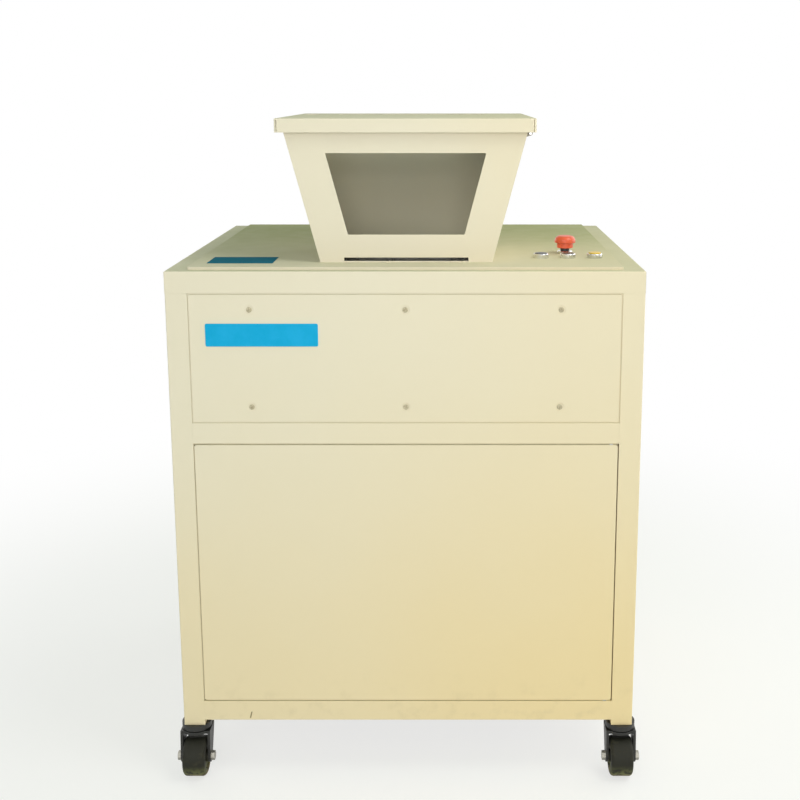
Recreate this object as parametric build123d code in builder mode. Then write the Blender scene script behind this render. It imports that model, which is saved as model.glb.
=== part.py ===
from build123d import *
from math import cos, pi, radians, sin
import os

# Industrial funnel shredder. Millimetres, origin on the floor at the middle of the footprint,
# +Z up, front towards -Y, +X to the right as seen from the front.

# Cabinet of square tube
CABINET_WIDTH = 860
CABINET_DEPTH = 700
TUBE = 40
TUBE_WALL = 2.5
TUBE_CORNER = 2
CASTER_HEIGHT = 105
POST_FOOT = 10
DOOR_OPENING = 512
SERVICE_OPENING = 240

# Sheet metal
SHEET = 2
PANEL_GAP = 2
STRIP_WIDTH = 42
STRIP_THICKNESS = 3
SCREW_PITCH = 280
SCREW_COLUMNS = 3
SCREW_ROWS = 2
SCREW_INSET = 30
SCREW_SHANK_RADIUS = 2.5
SCREW_HEAD_RADIUS = 5
SCREW_HEAD_HEIGHT = 2.2
SCREW_LENGTH = 9
SCREW_CLEARANCE = 0.2
DIMPLE_RADIUS = 9
DIMPLE_FLOOR_RADIUS = 6
DIMPLE_DEPTH = 0.9
CORNER_RELIEF = 2
VENT_SLOT_LENGTH = 70
VENT_SLOT_WIDTH = 7
VENT_COLUMNS = 2
VENT_ROWS = 6
VENT_ROW_PITCH = 18
VENT_COLUMN_PITCH = 95

# Top plate
PLATE_INSET_SIDE = 38
PLATE_INSET_FRONT = 19
PLATE_RISE = 5

# Funnel and lid
HOPPER_FRONT_INSET = 75
HOPPER_FOOT_WIDTH = 317
HOPPER_FOOT_DEPTH = 192
HOPPER_RIM_WIDTH = 454
HOPPER_RIM_DEPTH = 425
HOPPER_HEIGHT = 260
WINDOW_SILL = 51.5
WINDOW_HEIGHT = 148.5
WINDOW_MARGIN = 65
WINDOW_CORNER = 1.5
PANE_THICKNESS = 3
PANE_LAP = 12
FOOT_SLOT_WIDTH = 229
FOOT_SLOT_HEIGHT = 6.5
FOOT_SLOT_SILL = 2.5
LID_OVERHANG = 9
LID_DEPTH_OVERHANG = 12
LID_SKIRT = 25
LID_CORNER = 2.5
LID_SEAT_GAP = 0.3
LID_SLIT = 1
LID_SLIT_INSET = 4
FEED_SLOT_LENGTH = 300
FEED_SLOT_WIDTH = 45
FEED_SLOT_BEHIND_LID_FRONT = 347
FINGER_HOLE_WIDTH = 33
FINGER_HOLE_LENGTH = 62
FINGER_HOLE_INSET = 30

# Lid hinges
HINGE_DROP = 5
KNUCKLE_RADIUS = 4
HINGE_PIN_RADIUS = 2.5
HINGE_LENGTH = 50
HINGE_MIDDLE_LENGTH = 20
HINGE_SIDE_GAP = 0.3
HINGE_FRONT_INSET = 112
HINGE_PITCH = 230
HINGE_LEAF = 2.5
HINGE_LEAF_DROP = 34
RUNNING_CLEARANCE = 0.05

# Door
DOOR_THICKNESS = 18
DOOR_PIVOT_INSET = 12
DOOR_PIVOT_SETBACK = 6
DOOR_PIN_RADIUS = 4
DOOR_PIN_LENGTH = 14
DOOR_COLLAR_RADIUS = 5.5
DOOR_RIB_WIDTH = 70
DOOR_RIB_DEPTH = 12
DOOR_RIB_END_GAP = 40
CATCH_WIDTH = 18
CATCH_DEPTH = 26
CATCH_HEIGHT = 60
CATCH_GAP = 0.3
CATCH_CORNER = 3

# Switches
SWITCH_FRONT_INSET = 135
SWITCH_MIDDLE_SHARE = 0.6
SWITCH_PITCH_SHARE = 0.23
BEZEL_RADIUS = 14.75
BEZEL_HEIGHT = 8.5
BEZEL_CHAMFER = 1.5
SLEEVE_RADIUS = 11
SLEEVE_BORE_RADIUS = 9
SLEEVE_LENGTH = 14
CAP_RADIUS = 11.8
CAP_THICKNESS = 5
CAP_EDGE = 1
FLAT_CAP_RISE = 0.8
TALL_CAP_RISE = 2.4
BUTTON_TRAVEL = 3
SLIDING_CLEARANCE = 0.3
ESTOP_FRONT_INSET = 192
ESTOP_BASE_HEIGHT = 6
ESTOP_STEM_RISE = 22
ESTOP_HEAD_RADIUS = 20
ESTOP_HEAD_HEIGHT = 13
ESTOP_NECK_RADIUS = 15.5
ESTOP_NECK_HEIGHT = 10
ESTOP_TRAVEL = 4
CONTACT_BLOCK_SIZE = 30
CONTACT_BLOCK_HEIGHT = 30
CONTACT_BLOCK_CORNER = 3

# Cutter block
SHAFT_HEIGHT_BELOW_PLATE = 107
SHAFT_SPACING = 90
SHAFT_RADIUS = 20
CORE_RADIUS = 35
KNIFE_RADIUS = 52
KNIFE_ROOT_RADIUS = 43
KNIFE_TEETH = 5
KNIFE_HOOK_ANGLE = 4
KNIFE_BACK_SHARE = 0.6
KNIFE_PITCH = 18
KNIFE_SLOTS = 17
KNIFE_CLEARANCE = 0.4
SIDE_PLATE_THICKNESS = 12
SIDE_PLATE_CLEARANCE = 6
SIDE_PLATE_HALF_DEPTH = 118
SIDE_PLATE_TOP_GAP = 6
CORE_END_GAP = 0.5
COMB_BAR = 10
COMB_GAP = 2
COMB_HEIGHT_BELOW_SHAFT = 30
FINGER_HALF_HEIGHT = 20
BEARING_RADIUS = 43
BEARING_BOSS_RADIUS = 34
BEARING_FLANGE = 10
BEARING_LENGTH = 22
TIE_ROD_RADIUS = 8
TIE_NUT_RADIUS = 13
TIE_NUT_LENGTH = 9
LOW_TIE_DROP = 130
GEAR_MODULE = 5
GEAR_TEETH = 18
GEAR_WIDTH = 25
GEAR_BACKLASH = 0.5
GEAR_DEDENDUM_SHARE = 1.25
GEAR_TIP_SHARE = 0.42
GEAR_ROOT_SHARE = 1.32
GEAR_SEAT_CLEARANCE = 0.02
GEAR_END_GAP = 1

# Drive
GEARBOX_WIDTH = 120
GEARBOX_HALF_DEPTH = 68
GEARBOX_TOP = 50
WORM_DROP = 75
WORM_BOSS_RADIUS = 52
WORM_BOSS_LENGTH = 80
GEARBOX_FOOT = 14
GEARBOX_FOOT_WIDTH = 96
GEARBOX_BODY_WIDTH = 86.4
PEDESTAL_WIDTH = 60
PEDESTAL_DEPTH = 95
MOTOR_FLANGE_RADIUS = 80
MOTOR_FLANGE = 12
MOTOR_RADIUS = 64
MOTOR_FIN_HEIGHT = 8
MOTOR_FINS = 24
MOTOR_FIN_THICKNESS = 3
MOTOR_LENGTH = 190
FAN_COVER_LENGTH = 52
MOTOR_BOX_SIZE = 80
DECK_FRONT = -40
DECK_HALF_WIDTH = 300
CRADLE_LENGTH = 120
CRADLE_WIDTH = 90
CONTROL_BOX_WIDTH = 180
CONTROL_BOX_DEPTH = 120
CONTROL_BOX_HEIGHT = 170

# Waste bin and cable gland
BIN_WIDTH = 620
BIN_DEPTH = 560
BIN_HEIGHT = 430
BIN_TAPER = 30
BIN_WALL = 3
BIN_RIM = 12
BIN_HAND_HOLE = 110
BIN_HAND_HOLE_HEIGHT = 32
BIN_HAND_HOLE_DROP = 60
GLAND_X = 250
GLAND_HEIGHT = 230
GLAND_BORE_RADIUS = 6.5
GLAND_THREAD_RADIUS = 10
GLAND_NUT_RADIUS = 15
GLAND_LENGTH = 24
GLAND_CAP_RADIUS = 12
GLAND_CAP_EDGE = 2.5
GLAND_NUT = 8
GLAND_LOCKNUT = 6

# Casters
WHEEL_RADIUS = 37.5
WHEEL_WIDTH = 43
WHEEL_SHOULDER = 7
WHEEL_RECESS = 3
WHEEL_DISC_RADIUS = 26
HUB_RADIUS = 12
HUB_SIDE_GAP = 0.3
FORK_GAP = 2
FORK_WALL = 5
FORK_CROWN_RADIUS = 27
FORK_CROWN = 5.7
FORK_LEG_WIDTH = 40
AXLE_RADIUS = 5
AXLE_NUT_RADIUS = 9
AXLE_NUT = 7
AXLE_NUT_CLEARANCE = 0.02
AXLE_BOSS_RADIUS = 12
CASTER_TRAIL = 14
CASTER_FLANGE_RADIUS = 28
CASTER_FLANGE = 13
CASTER_FLANGE_EDGE = 2.6
KINGPIN_RADIUS = 6
KINGPIN_HEAD_RADIUS = 10
KINGPIN_HEAD = 5.7
SWIVEL_GAP = 0.3
PLUG_HEIGHT = 25
PLUG_CLEARANCE = 0.2

# Levels and faces that the pieces share
half_width = CABINET_WIDTH / 2
half_depth = CABINET_DEPTH / 2
inner_x = half_width - TUBE
inner_y = half_depth - TUBE
post_x = half_width - TUBE / 2
post_y = half_depth - TUBE / 2
post_bottom = CASTER_HEIGHT
bottom_rail_z = post_bottom + POST_FOOT
door_bottom = bottom_rail_z + TUBE
door_top = door_bottom + DOOR_OPENING
service_bottom = door_top + TUBE
service_top = service_bottom + SERVICE_OPENING
frame_top = service_top + TUBE
plate_top = frame_top + PLATE_RISE
plate_under = plate_top - SHEET
tube_bore = TUBE - 2 * TUBE_WALL
knife_length = KNIFE_SLOTS * KNIFE_PITCH
plate_inside = knife_length / 2 + SIDE_PLATE_CLEARANCE
plate_outside = plate_inside + SIDE_PLATE_THICKNESS

front_face = Plane(origin=(0, -half_depth, 0), x_dir=(1, 0, 0), z_dir=(0, -1, 0))
rear_face = Plane(origin=(0, half_depth, 0), x_dir=(-1, 0, 0), z_dir=(0, 1, 0))
right_face = Plane(origin=(half_width, 0, 0), x_dir=(0, 1, 0), z_dir=(1, 0, 0))
left_face = Plane(origin=(-half_width, 0, 0), x_dir=(0, -1, 0), z_dir=(-1, 0, 0))

os.makedirs("parts", exist_ok=True)


def save(builder, name):
    """Label a finished piece and write it out."""
    builder.part.label = name
    export_step(builder.part, f"parts/{name}.step")


# Frame: posts stand under a mitred ring of top rails, other rails butt against the posts.
# The joints are welded and ground flush, so only edges that no rail meets are rounded.

def tube_run(middle, along, length):
    """A straight length of hollow square tube, centred on a point."""
    with BuildPart() as run:
        with BuildSketch(Plane(origin=middle, x_dir=(0, 0, 1), z_dir=along)):
            RectangleRounded(TUBE, TUBE, TUBE_CORNER)
            Rectangle(tube_bore, tube_bore, mode=Mode.SUBTRACT)
        extrude(amount=length / 2, both=True)
    return run.part


def mitred_plan(long_side, reach, inset_outer, inset_inner):
    """Plan of a rail with mitred ends, drawn on the front or right side of the ring."""
    outer = long_side - inset_outer
    inner = long_side - inset_inner
    with BuildSketch() as plan:
        with BuildLine():
            Polyline(
                (-outer, -(reach - inset_outer)),
                (outer, -(reach - inset_outer)),
                (inner, -(reach - inset_inner)),
                (-inner, -(reach - inset_inner)),
                close=True,
            )
        make_face()
    return plan.sketch


def mitred_rail(long_side, reach):
    """A hollow top rail whose ends are cut at 45 degrees."""
    with BuildPart() as rail:
        with BuildSketch(Plane.XY.offset(service_top)):
            add(mitred_plan(long_side, reach, 0, TUBE))
        extrude(amount=TUBE)
        fillet(rail.edges().filter_by(Axis.X).group_by(Axis.Z)[-1], TUBE_CORNER)
        with BuildSketch(Plane.XY.offset(service_top + TUBE_WALL)):
            add(mitred_plan(long_side, reach, TUBE_WALL, TUBE - TUBE_WALL))
        extrude(amount=tube_bore, mode=Mode.SUBTRACT)
    return rail.part


with BuildPart() as frame_posts:
    with BuildSketch(Plane.XY.offset(post_bottom)):
        with GridLocations(2 * post_x, 2 * post_y, 2, 2):
            Rectangle(TUBE, TUBE)
            Rectangle(tube_bore, tube_bore, mode=Mode.SUBTRACT)
    extrude(amount=service_top - post_bottom)
    upright_edges = frame_posts.edges().filter_by(Axis.Z)
    fillet(upright_edges.sort_by(SortBy.DISTANCE)[-4:], TUBE_CORNER)
save(frame_posts, "frame_posts")

long_rail = mitred_rail(half_width, half_depth)
side_rail = mitred_rail(half_depth, half_width)
for name, rail, first_turn in (("long_top_rails", long_rail, 0), ("side_top_rails", side_rail, 90)):
    with BuildPart() as top_rails:
        for turn in (first_turn, first_turn + 180):
            add(rail.rotate(Axis.Z, turn))
    save(top_rails, name)

with BuildPart() as middle_rails:
    for side in (-1, 1):
        add(tube_run((0, side * post_y, door_top + TUBE / 2), (1, 0, 0), 2 * inner_x))
save(middle_rails, "middle_rails")

with BuildPart() as bottom_rails:
    for side in (-1, 1):
        add(tube_run((0, side * post_y, bottom_rail_z + TUBE / 2), (1, 0, 0), 2 * inner_x))
        add(tube_run((side * post_x, 0, bottom_rail_z + TUBE / 2), (0, 1, 0), 2 * inner_y))
save(bottom_rails, "bottom_rails")


# Panels: flush sheets screwed to flat strips that are welded inside each opening

service_grid = (SCREW_PITCH, SERVICE_OPENING - 2 * SCREW_INSET, SCREW_COLUMNS, SCREW_ROWS)
rear_lower_grid = (SCREW_PITCH, DOOR_OPENING - 2 * SCREW_INSET, SCREW_COLUMNS, SCREW_ROWS)
side_height = service_top - door_bottom
side_pitch = (side_height - 2 * SCREW_INSET) / (SCREW_COLUMNS - 1)
side_grid = (2 * (inner_y - SCREW_INSET), side_pitch, SCREW_ROWS, SCREW_COLUMNS)
service_middle = (service_bottom + service_top) / 2
door_middle = (door_bottom + door_top) / 2
side_middle = (door_bottom + service_top) / 2
panel_fixings = (
    (front_face, service_middle, service_grid),
    (rear_face, service_middle, service_grid),
    (rear_face, door_middle, rear_lower_grid),
    (right_face, side_middle, side_grid),
    (left_face, side_middle, side_grid),
)
screw_hole_radius = SCREW_SHANK_RADIUS + SCREW_CLEARANCE


def panel_sheet(face, middle, width, height, grid):
    """A flush panel with relieved corners and a dimpled hole for each screw."""
    sheet_width = width - 2 * PANEL_GAP
    sheet_height = height - 2 * PANEL_GAP
    with BuildPart() as sheet:
        with BuildSketch(face):
            with Locations((0, middle)):
                Rectangle(sheet_width, sheet_height)
                with GridLocations(sheet_width, sheet_height, 2, 2):
                    Circle(CORNER_RELIEF, mode=Mode.SUBTRACT)
        extrude(amount=-SHEET)
        with Locations(face.location):
            with Locations((0, middle, -DIMPLE_DEPTH / 2)):
                with GridLocations(*grid):
                    Cone(DIMPLE_FLOOR_RADIUS, DIMPLE_RADIUS, DIMPLE_DEPTH, mode=Mode.SUBTRACT)
            with Locations((0, middle, -SHEET / 2)):
                with GridLocations(*grid):
                    Cylinder(screw_hole_radius, SHEET, mode=Mode.SUBTRACT)
    return sheet.part


with BuildPart() as service_panel:
    add(panel_sheet(front_face, service_middle, 2 * inner_x, SERVICE_OPENING, service_grid))
save(service_panel, "service_panel")

for name, face in (("right_side_panel", right_face), ("left_side_panel", left_face)):
    with BuildPart() as side_panel:
        add(panel_sheet(face, side_middle, 2 * inner_y, side_height, side_grid))
    save(side_panel, name)

with BuildPart() as rear_upper_panel:
    add(panel_sheet(rear_face, service_middle, 2 * inner_x, SERVICE_OPENING, service_grid))
    with BuildSketch(rear_face):
        with Locations((0, service_middle)):
            with GridLocations(VENT_COLUMN_PITCH, VENT_ROW_PITCH, VENT_COLUMNS, VENT_ROWS):
                SlotOverall(VENT_SLOT_LENGTH, VENT_SLOT_WIDTH)
    extrude(amount=-SHEET, mode=Mode.SUBTRACT)
save(rear_upper_panel, "rear_upper_panel")

with BuildPart() as rear_lower_panel:
    add(panel_sheet(rear_face, door_middle, 2 * inner_x, DOOR_OPENING, rear_lower_grid))
    with BuildSketch(rear_face):
        with Locations((-GLAND_X, GLAND_HEIGHT)):
            Circle(GLAND_THREAD_RADIUS + SCREW_CLEARANCE)
    extrude(amount=-SHEET, mode=Mode.SUBTRACT)
save(rear_lower_panel, "rear_lower_panel")

with BuildPart() as panel_strips:
    for face, middle, width, height in (
        (front_face, service_middle, 2 * inner_x, SERVICE_OPENING),
        (rear_face, service_middle, 2 * inner_x, SERVICE_OPENING),
        (rear_face, door_middle, 2 * inner_x, DOOR_OPENING),
        (right_face, side_middle, 2 * inner_y, side_height),
        (left_face, side_middle, 2 * inner_y, side_height),
    ):
        with BuildSketch(face.offset(-SHEET)):
            with Locations((0, middle)):
                Rectangle(width, height)
                Rectangle(width - 2 * STRIP_WIDTH, height - 2 * STRIP_WIDTH, mode=Mode.SUBTRACT)
        extrude(amount=-STRIP_THICKNESS)
    for face, middle, grid in panel_fixings:
        with BuildSketch(face.offset(-SHEET)):
            with Locations((0, middle)):
                with GridLocations(*grid):
                    Circle(screw_hole_radius)
        extrude(amount=-STRIP_THICKNESS, mode=Mode.SUBTRACT)
save(panel_strips, "panel_strips")

with BuildPart() as screw:
    with BuildSketch():
        Circle(SCREW_HEAD_RADIUS)
    extrude(amount=SCREW_HEAD_HEIGHT)
    chamfer(screw.faces().sort_by(Axis.Z)[-1].edges(), SCREW_HEAD_HEIGHT / 2)
    with BuildSketch():
        Circle(SCREW_SHANK_RADIUS)
    extrude(amount=-SCREW_LENGTH)

with BuildPart() as panel_screws:
    for face, middle, grid in panel_fixings:
        with Locations(face.location):
            with Locations((0, middle, -DIMPLE_DEPTH)):
                with GridLocations(*grid):
                    add(screw.part)
save(panel_screws, "panel_screws")

with BuildPart() as floor_pan:
    with BuildSketch(Plane.XY.offset(door_bottom)):
        Rectangle(2 * (post_x - STRIP_THICKNESS), 2 * (inner_y - PANEL_GAP))
        Rectangle(2 * (inner_x - PANEL_GAP), 2 * (inner_y + TUBE / 4))
    extrude(amount=SHEET)
save(floor_pan, "floor_pan")


# Top plate: a shallow folded tray that rests on the rails, with the throat under the funnel

plate_width = CABINET_WIDTH - 2 * PLATE_INSET_SIDE
plate_depth = CABINET_DEPTH - 2 * PLATE_INSET_FRONT
hopper_front_y = -half_depth + HOPPER_FRONT_INSET
hopper_foot_y = hopper_front_y + HOPPER_FOOT_DEPTH / 2
hopper_rim_y = hopper_front_y + HOPPER_RIM_DEPTH / 2
rim_z = plate_top + HOPPER_HEIGHT
switch_strip = plate_width / 2 - plate_outside
switch_x = plate_outside + SWITCH_MIDDLE_SHARE * switch_strip
switch_pitch = SWITCH_PITCH_SHARE * switch_strip
switch_y = -half_depth + SWITCH_FRONT_INSET
estop_y = -half_depth + ESTOP_FRONT_INSET
switch_places = [(switch_x + step * switch_pitch, switch_y) for step in (-1, 0, 1)]
estop_place = (switch_x, estop_y)

with BuildPart() as top_plate:
    with BuildSketch(Plane.XY.offset(frame_top)):
        Rectangle(plate_width, plate_depth)
    extrude(amount=PLATE_RISE)
    fillet(top_plate.edges().filter_by(Axis.Z), TUBE_CORNER)
    with BuildSketch(Plane.XY.offset(frame_top)):
        Rectangle(plate_width - 2 * SHEET, plate_depth - 2 * SHEET)
    extrude(amount=PLATE_RISE - SHEET, mode=Mode.SUBTRACT)
    with BuildSketch(Plane.XY.offset(plate_top)):
        with Locations((0, hopper_foot_y)):
            Rectangle(HOPPER_FOOT_WIDTH - 2 * SHEET, HOPPER_FOOT_DEPTH - 2 * SHEET)
        with Locations(*switch_places, estop_place):
            Circle(SLEEVE_RADIUS + SCREW_CLEARANCE)
    extrude(amount=-SHEET, mode=Mode.SUBTRACT)
save(top_plate, "top_plate")


# Funnel: upright front, flared sides and a long sloping back, welded to the plate

foot_half = HOPPER_FOOT_WIDTH / 2
rim_half = HOPPER_RIM_WIDTH / 2
flare = (rim_half - foot_half) / HOPPER_HEIGHT
back_foot_y = hopper_front_y + HOPPER_FOOT_DEPTH
back_rim_y = hopper_front_y + HOPPER_RIM_DEPTH


def funnel(inset):
    """The funnel's solid form, with every wall moved inwards by the inset."""
    with BuildPart() as form:
        with BuildSketch(Plane.XY.offset(plate_top)):
            with Locations((0, hopper_foot_y)):
                Rectangle(HOPPER_FOOT_WIDTH - 2 * inset, HOPPER_FOOT_DEPTH - 2 * inset)
        with BuildSketch(Plane.XY.offset(rim_z)):
            with Locations((0, hopper_rim_y)):
                Rectangle(HOPPER_RIM_WIDTH - 2 * inset, HOPPER_RIM_DEPTH - 2 * inset)
        loft()
    return form.part


def window_outline(plane, lap, corner):
    """The window's trapezium, its sides in line with the funnel's, grown by a lap."""
    sill = plate_top + WINDOW_SILL - lap
    head = plate_top + WINDOW_SILL + WINDOW_HEIGHT + lap
    sill_half = foot_half + flare * (sill - plate_top) - WINDOW_MARGIN + lap
    head_half = foot_half + flare * (head - plate_top) - WINDOW_MARGIN + lap
    with BuildSketch(plane) as outline:
        with BuildLine():
            Polyline(
                (-sill_half, sill),
                (sill_half, sill),
                (head_half, head),
                (-head_half, head),
                close=True,
            )
        make_face()
        fillet(outline.vertices(), corner)
    return outline.sketch


with BuildPart() as funnel_walls:
    add(funnel(0))
    add(funnel(SHEET), mode=Mode.SUBTRACT)

front_wall_back = Plane(origin=(0, hopper_front_y + SHEET, 0), x_dir=(1, 0, 0), z_dir=(0, -1, 0))
front_wall_face = front_wall_back.offset(SHEET)
back_wall_front = Plane(
    origin=(0, back_foot_y - SHEET, plate_top),
    x_dir=(1, 0, 0),
    z_dir=(0, HOPPER_HEIGHT, back_foot_y - back_rim_y),
)

with BuildPart() as hopper_front:
    add(funnel_walls.part)
    split(bisect_by=front_wall_back, keep=Keep.TOP)
    extrude(window_outline(front_wall_face, 0, WINDOW_CORNER), amount=-SHEET, mode=Mode.SUBTRACT)
    with BuildSketch(front_wall_face):
        with Locations((0, plate_top + FOOT_SLOT_SILL + FOOT_SLOT_HEIGHT / 2)):
            Rectangle(FOOT_SLOT_WIDTH, FOOT_SLOT_HEIGHT)
    extrude(amount=-SHEET, mode=Mode.SUBTRACT)
save(hopper_front, "hopper_front")

with BuildPart() as hopper_back:
    add(funnel_walls.part)
    split(bisect_by=back_wall_front, keep=Keep.TOP)
save(hopper_back, "hopper_back")

for name, inner_plane in (
    ("hopper_right_wall", Plane(origin=(0, 0, 0), z_dir=(1, 0, 0))),
    ("hopper_left_wall", Plane(origin=(0, 0, 0), z_dir=(-1, 0, 0))),
):
    with BuildPart() as hopper_wall:
        add(funnel_walls.part)
        split(bisect_by=front_wall_back, keep=Keep.BOTTOM)
        split(bisect_by=back_wall_front, keep=Keep.BOTTOM)
        split(bisect_by=inner_plane, keep=Keep.TOP)
    save(hopper_wall, name)

with BuildPart() as hopper_window:
    extrude(window_outline(front_wall_back, PANE_LAP, WINDOW_CORNER), amount=-PANE_THICKNESS)
save(hopper_window, "hopper_window")


# Lid: a folded tray over the rim, hinged under its right edge

lid_half = rim_half + LID_OVERHANG
lid_width = 2 * lid_half
lid_front_y = hopper_front_y - LID_DEPTH_OVERHANG
lid_depth = HOPPER_RIM_DEPTH + 2 * LID_DEPTH_OVERHANG
lid_under = rim_z + LID_SEAT_GAP
lid_top = lid_under + SHEET
lid_bottom = lid_top - LID_SKIRT
feed_slot_y = lid_front_y + FEED_SLOT_BEHIND_LID_FRONT
finger_hole_x = -(lid_half - FINGER_HOLE_INSET)

with BuildPart() as hopper_lid:
    with BuildSketch(Plane.XY.offset(lid_bottom)):
        with Locations((0, hopper_rim_y)):
            Rectangle(lid_width, lid_depth)
    extrude(amount=LID_SKIRT)
    fillet(hopper_lid.edges().filter_by(Axis.Z), LID_CORNER)
    fillet(hopper_lid.faces().sort_by(Axis.Z)[-1].edges(), LID_CORNER / 2)
    with BuildSketch(Plane.XY.offset(lid_bottom)):
        with Locations((0, hopper_rim_y)):
            Rectangle(lid_width - 2 * SHEET, lid_depth - 2 * SHEET)
    extrude(amount=LID_SKIRT - SHEET, mode=Mode.SUBTRACT)
    with BuildSketch(Plane.XY.offset(lid_top)):
        with Locations((0, feed_slot_y)):
            Rectangle(FEED_SLOT_LENGTH, FEED_SLOT_WIDTH)
        with Locations((finger_hole_x, feed_slot_y)):
            SlotOverall(FINGER_HOLE_LENGTH, FINGER_HOLE_WIDTH, rotation=90)
    extrude(amount=-SHEET, mode=Mode.SUBTRACT)
    with BuildSketch(Plane.XY.offset(lid_bottom)):
        with Locations((0, lid_front_y + SHEET / 2)):
            with GridLocations(2 * (lid_half - LID_SLIT_INSET), 0, 2, 1):
                Rectangle(LID_SLIT, SHEET)
    extrude(amount=LID_SKIRT - SHEET, mode=Mode.SUBTRACT)
save(hopper_lid, "hopper_lid")

hinge_x = lid_half - HINGE_DROP
hinge_z = lid_bottom - HINGE_DROP
hinge_middles = [lid_front_y + HINGE_FRONT_INSET + step * HINGE_PITCH for step in (0, 1)]
knuckle_bore = HINGE_PIN_RADIUS + RUNNING_CLEARANCE
fixed_knuckle = (HINGE_LENGTH - HINGE_MIDDLE_LENGTH) / 2 - HINGE_SIDE_GAP
lid_wall_inside = lid_half - SHEET


def wall_x(height):
    """Outer face of the funnel's right wall at a height."""
    return foot_half + flare * (height - plate_top)


leaf_low = hinge_z - HINGE_LEAF_DROP
leaf_high = hinge_z - KNUCKLE_RADIUS
tongue_thickness = KNUCKLE_RADIUS

with BuildPart() as lid_hinge_fixed_leaves:
    for middle in hinge_middles:
        hinge_plane = Plane(origin=(0, middle, 0), x_dir=(1, 0, 0), z_dir=(0, -1, 0))
        with BuildSketch(hinge_plane):
            with BuildLine():
                Polyline(
                    (wall_x(leaf_low), leaf_low),
                    (wall_x(leaf_low) + HINGE_LEAF, leaf_low),
                    (wall_x(leaf_high) + HINGE_LEAF, leaf_high),
                    (wall_x(leaf_high), leaf_high),
                    close=True,
                )
            make_face()
        extrude(amount=HINGE_LENGTH / 2, both=True)
        for side in (-1, 1):
            knuckle_middle = side * (HINGE_LENGTH - fixed_knuckle) / 2
            with BuildSketch(hinge_plane.offset(knuckle_middle)):
                with BuildLine():
                    Polyline(
                        (wall_x(leaf_high), leaf_high),
                        (wall_x(leaf_high - tongue_thickness), leaf_high - tongue_thickness),
                        (hinge_x, hinge_z - KNUCKLE_RADIUS),
                        (hinge_x, hinge_z),
                        close=True,
                    )
                make_face()
                with Locations((hinge_x, hinge_z)):
                    Circle(KNUCKLE_RADIUS)
                    Circle(knuckle_bore, mode=Mode.SUBTRACT)
            extrude(amount=fixed_knuckle / 2, both=True)
save(lid_hinge_fixed_leaves, "lid_hinge_fixed_leaves")

with BuildPart() as lid_hinge_moving_leaves:
    for middle in hinge_middles:
        with BuildSketch(Plane(origin=(0, middle, 0), x_dir=(1, 0, 0), z_dir=(0, -1, 0))):
            with BuildLine():
                Polyline(
                    (lid_wall_inside - HINGE_LEAF, hinge_z),
                    (lid_wall_inside, hinge_z),
                    (lid_wall_inside, lid_top - 2 * SHEET),
                    (lid_wall_inside - HINGE_LEAF, lid_top - 2 * SHEET),
                    close=True,
                )
            make_face()
            with Locations((hinge_x, hinge_z)):
                Circle(KNUCKLE_RADIUS)
                Circle(knuckle_bore, mode=Mode.SUBTRACT)
        extrude(amount=HINGE_MIDDLE_LENGTH / 2, both=True)
save(lid_hinge_moving_leaves, "lid_hinge_moving_leaves")

with BuildPart() as lid_hinge_pins:
    for middle in hinge_middles:
        with BuildSketch(Plane(origin=(hinge_x, middle, hinge_z), x_dir=(1, 0, 0), z_dir=(0, -1, 0))):
            Circle(HINGE_PIN_RADIUS)
        extrude(amount=HINGE_LENGTH / 2, both=True)
save(lid_hinge_pins, "lid_hinge_pins")


# Door: a folded pan that turns on two pins near its right edge, held shut by a catch

door_half = inner_x - PANEL_GAP
door_height = DOOR_OPENING - 2 * PANEL_GAP
door_pivot_x = door_half - DOOR_PIVOT_INSET
door_pivot_y = -half_depth + DOOR_PIVOT_SETBACK
door_inside = front_face.offset(-DOOR_THICKNESS)

with BuildPart() as door_panel:
    with BuildSketch(front_face):
        with Locations((0, door_middle)):
            Rectangle(2 * door_half, door_height)
    extrude(amount=-DOOR_THICKNESS)
    with BuildSketch(door_inside):
        with Locations((0, door_middle)):
            Rectangle(2 * (door_half - SHEET), door_height - 2 * SHEET)
    extrude(amount=DOOR_THICKNESS - SHEET, mode=Mode.SUBTRACT)
    with BuildSketch(Plane.XY.offset(door_bottom)):
        with Locations((door_pivot_x, door_pivot_y)):
            Circle(DOOR_PIN_RADIUS + RUNNING_CLEARANCE)
    extrude(amount=DOOR_OPENING, mode=Mode.SUBTRACT)
    with BuildSketch(front_face):
        with Locations((0, door_middle)):
            with GridLocations(2 * door_half, door_height, 2, 2):
                Circle(CORNER_RELIEF)
    extrude(amount=-DOOR_THICKNESS, mode=Mode.SUBTRACT)
    with BuildSketch(Plane.XY.offset(door_middle)):
        with Locations((0, -half_depth + SHEET + DOOR_RIB_DEPTH / 2)):
            Rectangle(DOOR_RIB_WIDTH, DOOR_RIB_DEPTH)
        with Locations((0, -half_depth + DOOR_RIB_DEPTH / 2)):
            Rectangle(DOOR_RIB_WIDTH - 2 * SHEET, DOOR_RIB_DEPTH, mode=Mode.SUBTRACT)
    extrude(amount=door_height / 2 - DOOR_RIB_END_GAP, both=True)
save(door_panel, "door_panel")

with BuildPart() as door_pivot_pins:
    for level, up in ((door_bottom, 1), (door_top, -1)):
        with BuildSketch(Plane.XY.offset(level)):
            with Locations((door_pivot_x, door_pivot_y)):
                Circle(DOOR_COLLAR_RADIUS)
        extrude(amount=up * PANEL_GAP)
        with BuildSketch(Plane.XY.offset(level)):
            with Locations((door_pivot_x, door_pivot_y)):
                Circle(DOOR_PIN_RADIUS)
        extrude(amount=up * DOOR_PIN_LENGTH)
save(door_pivot_pins, "door_pivot_pins")

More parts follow.
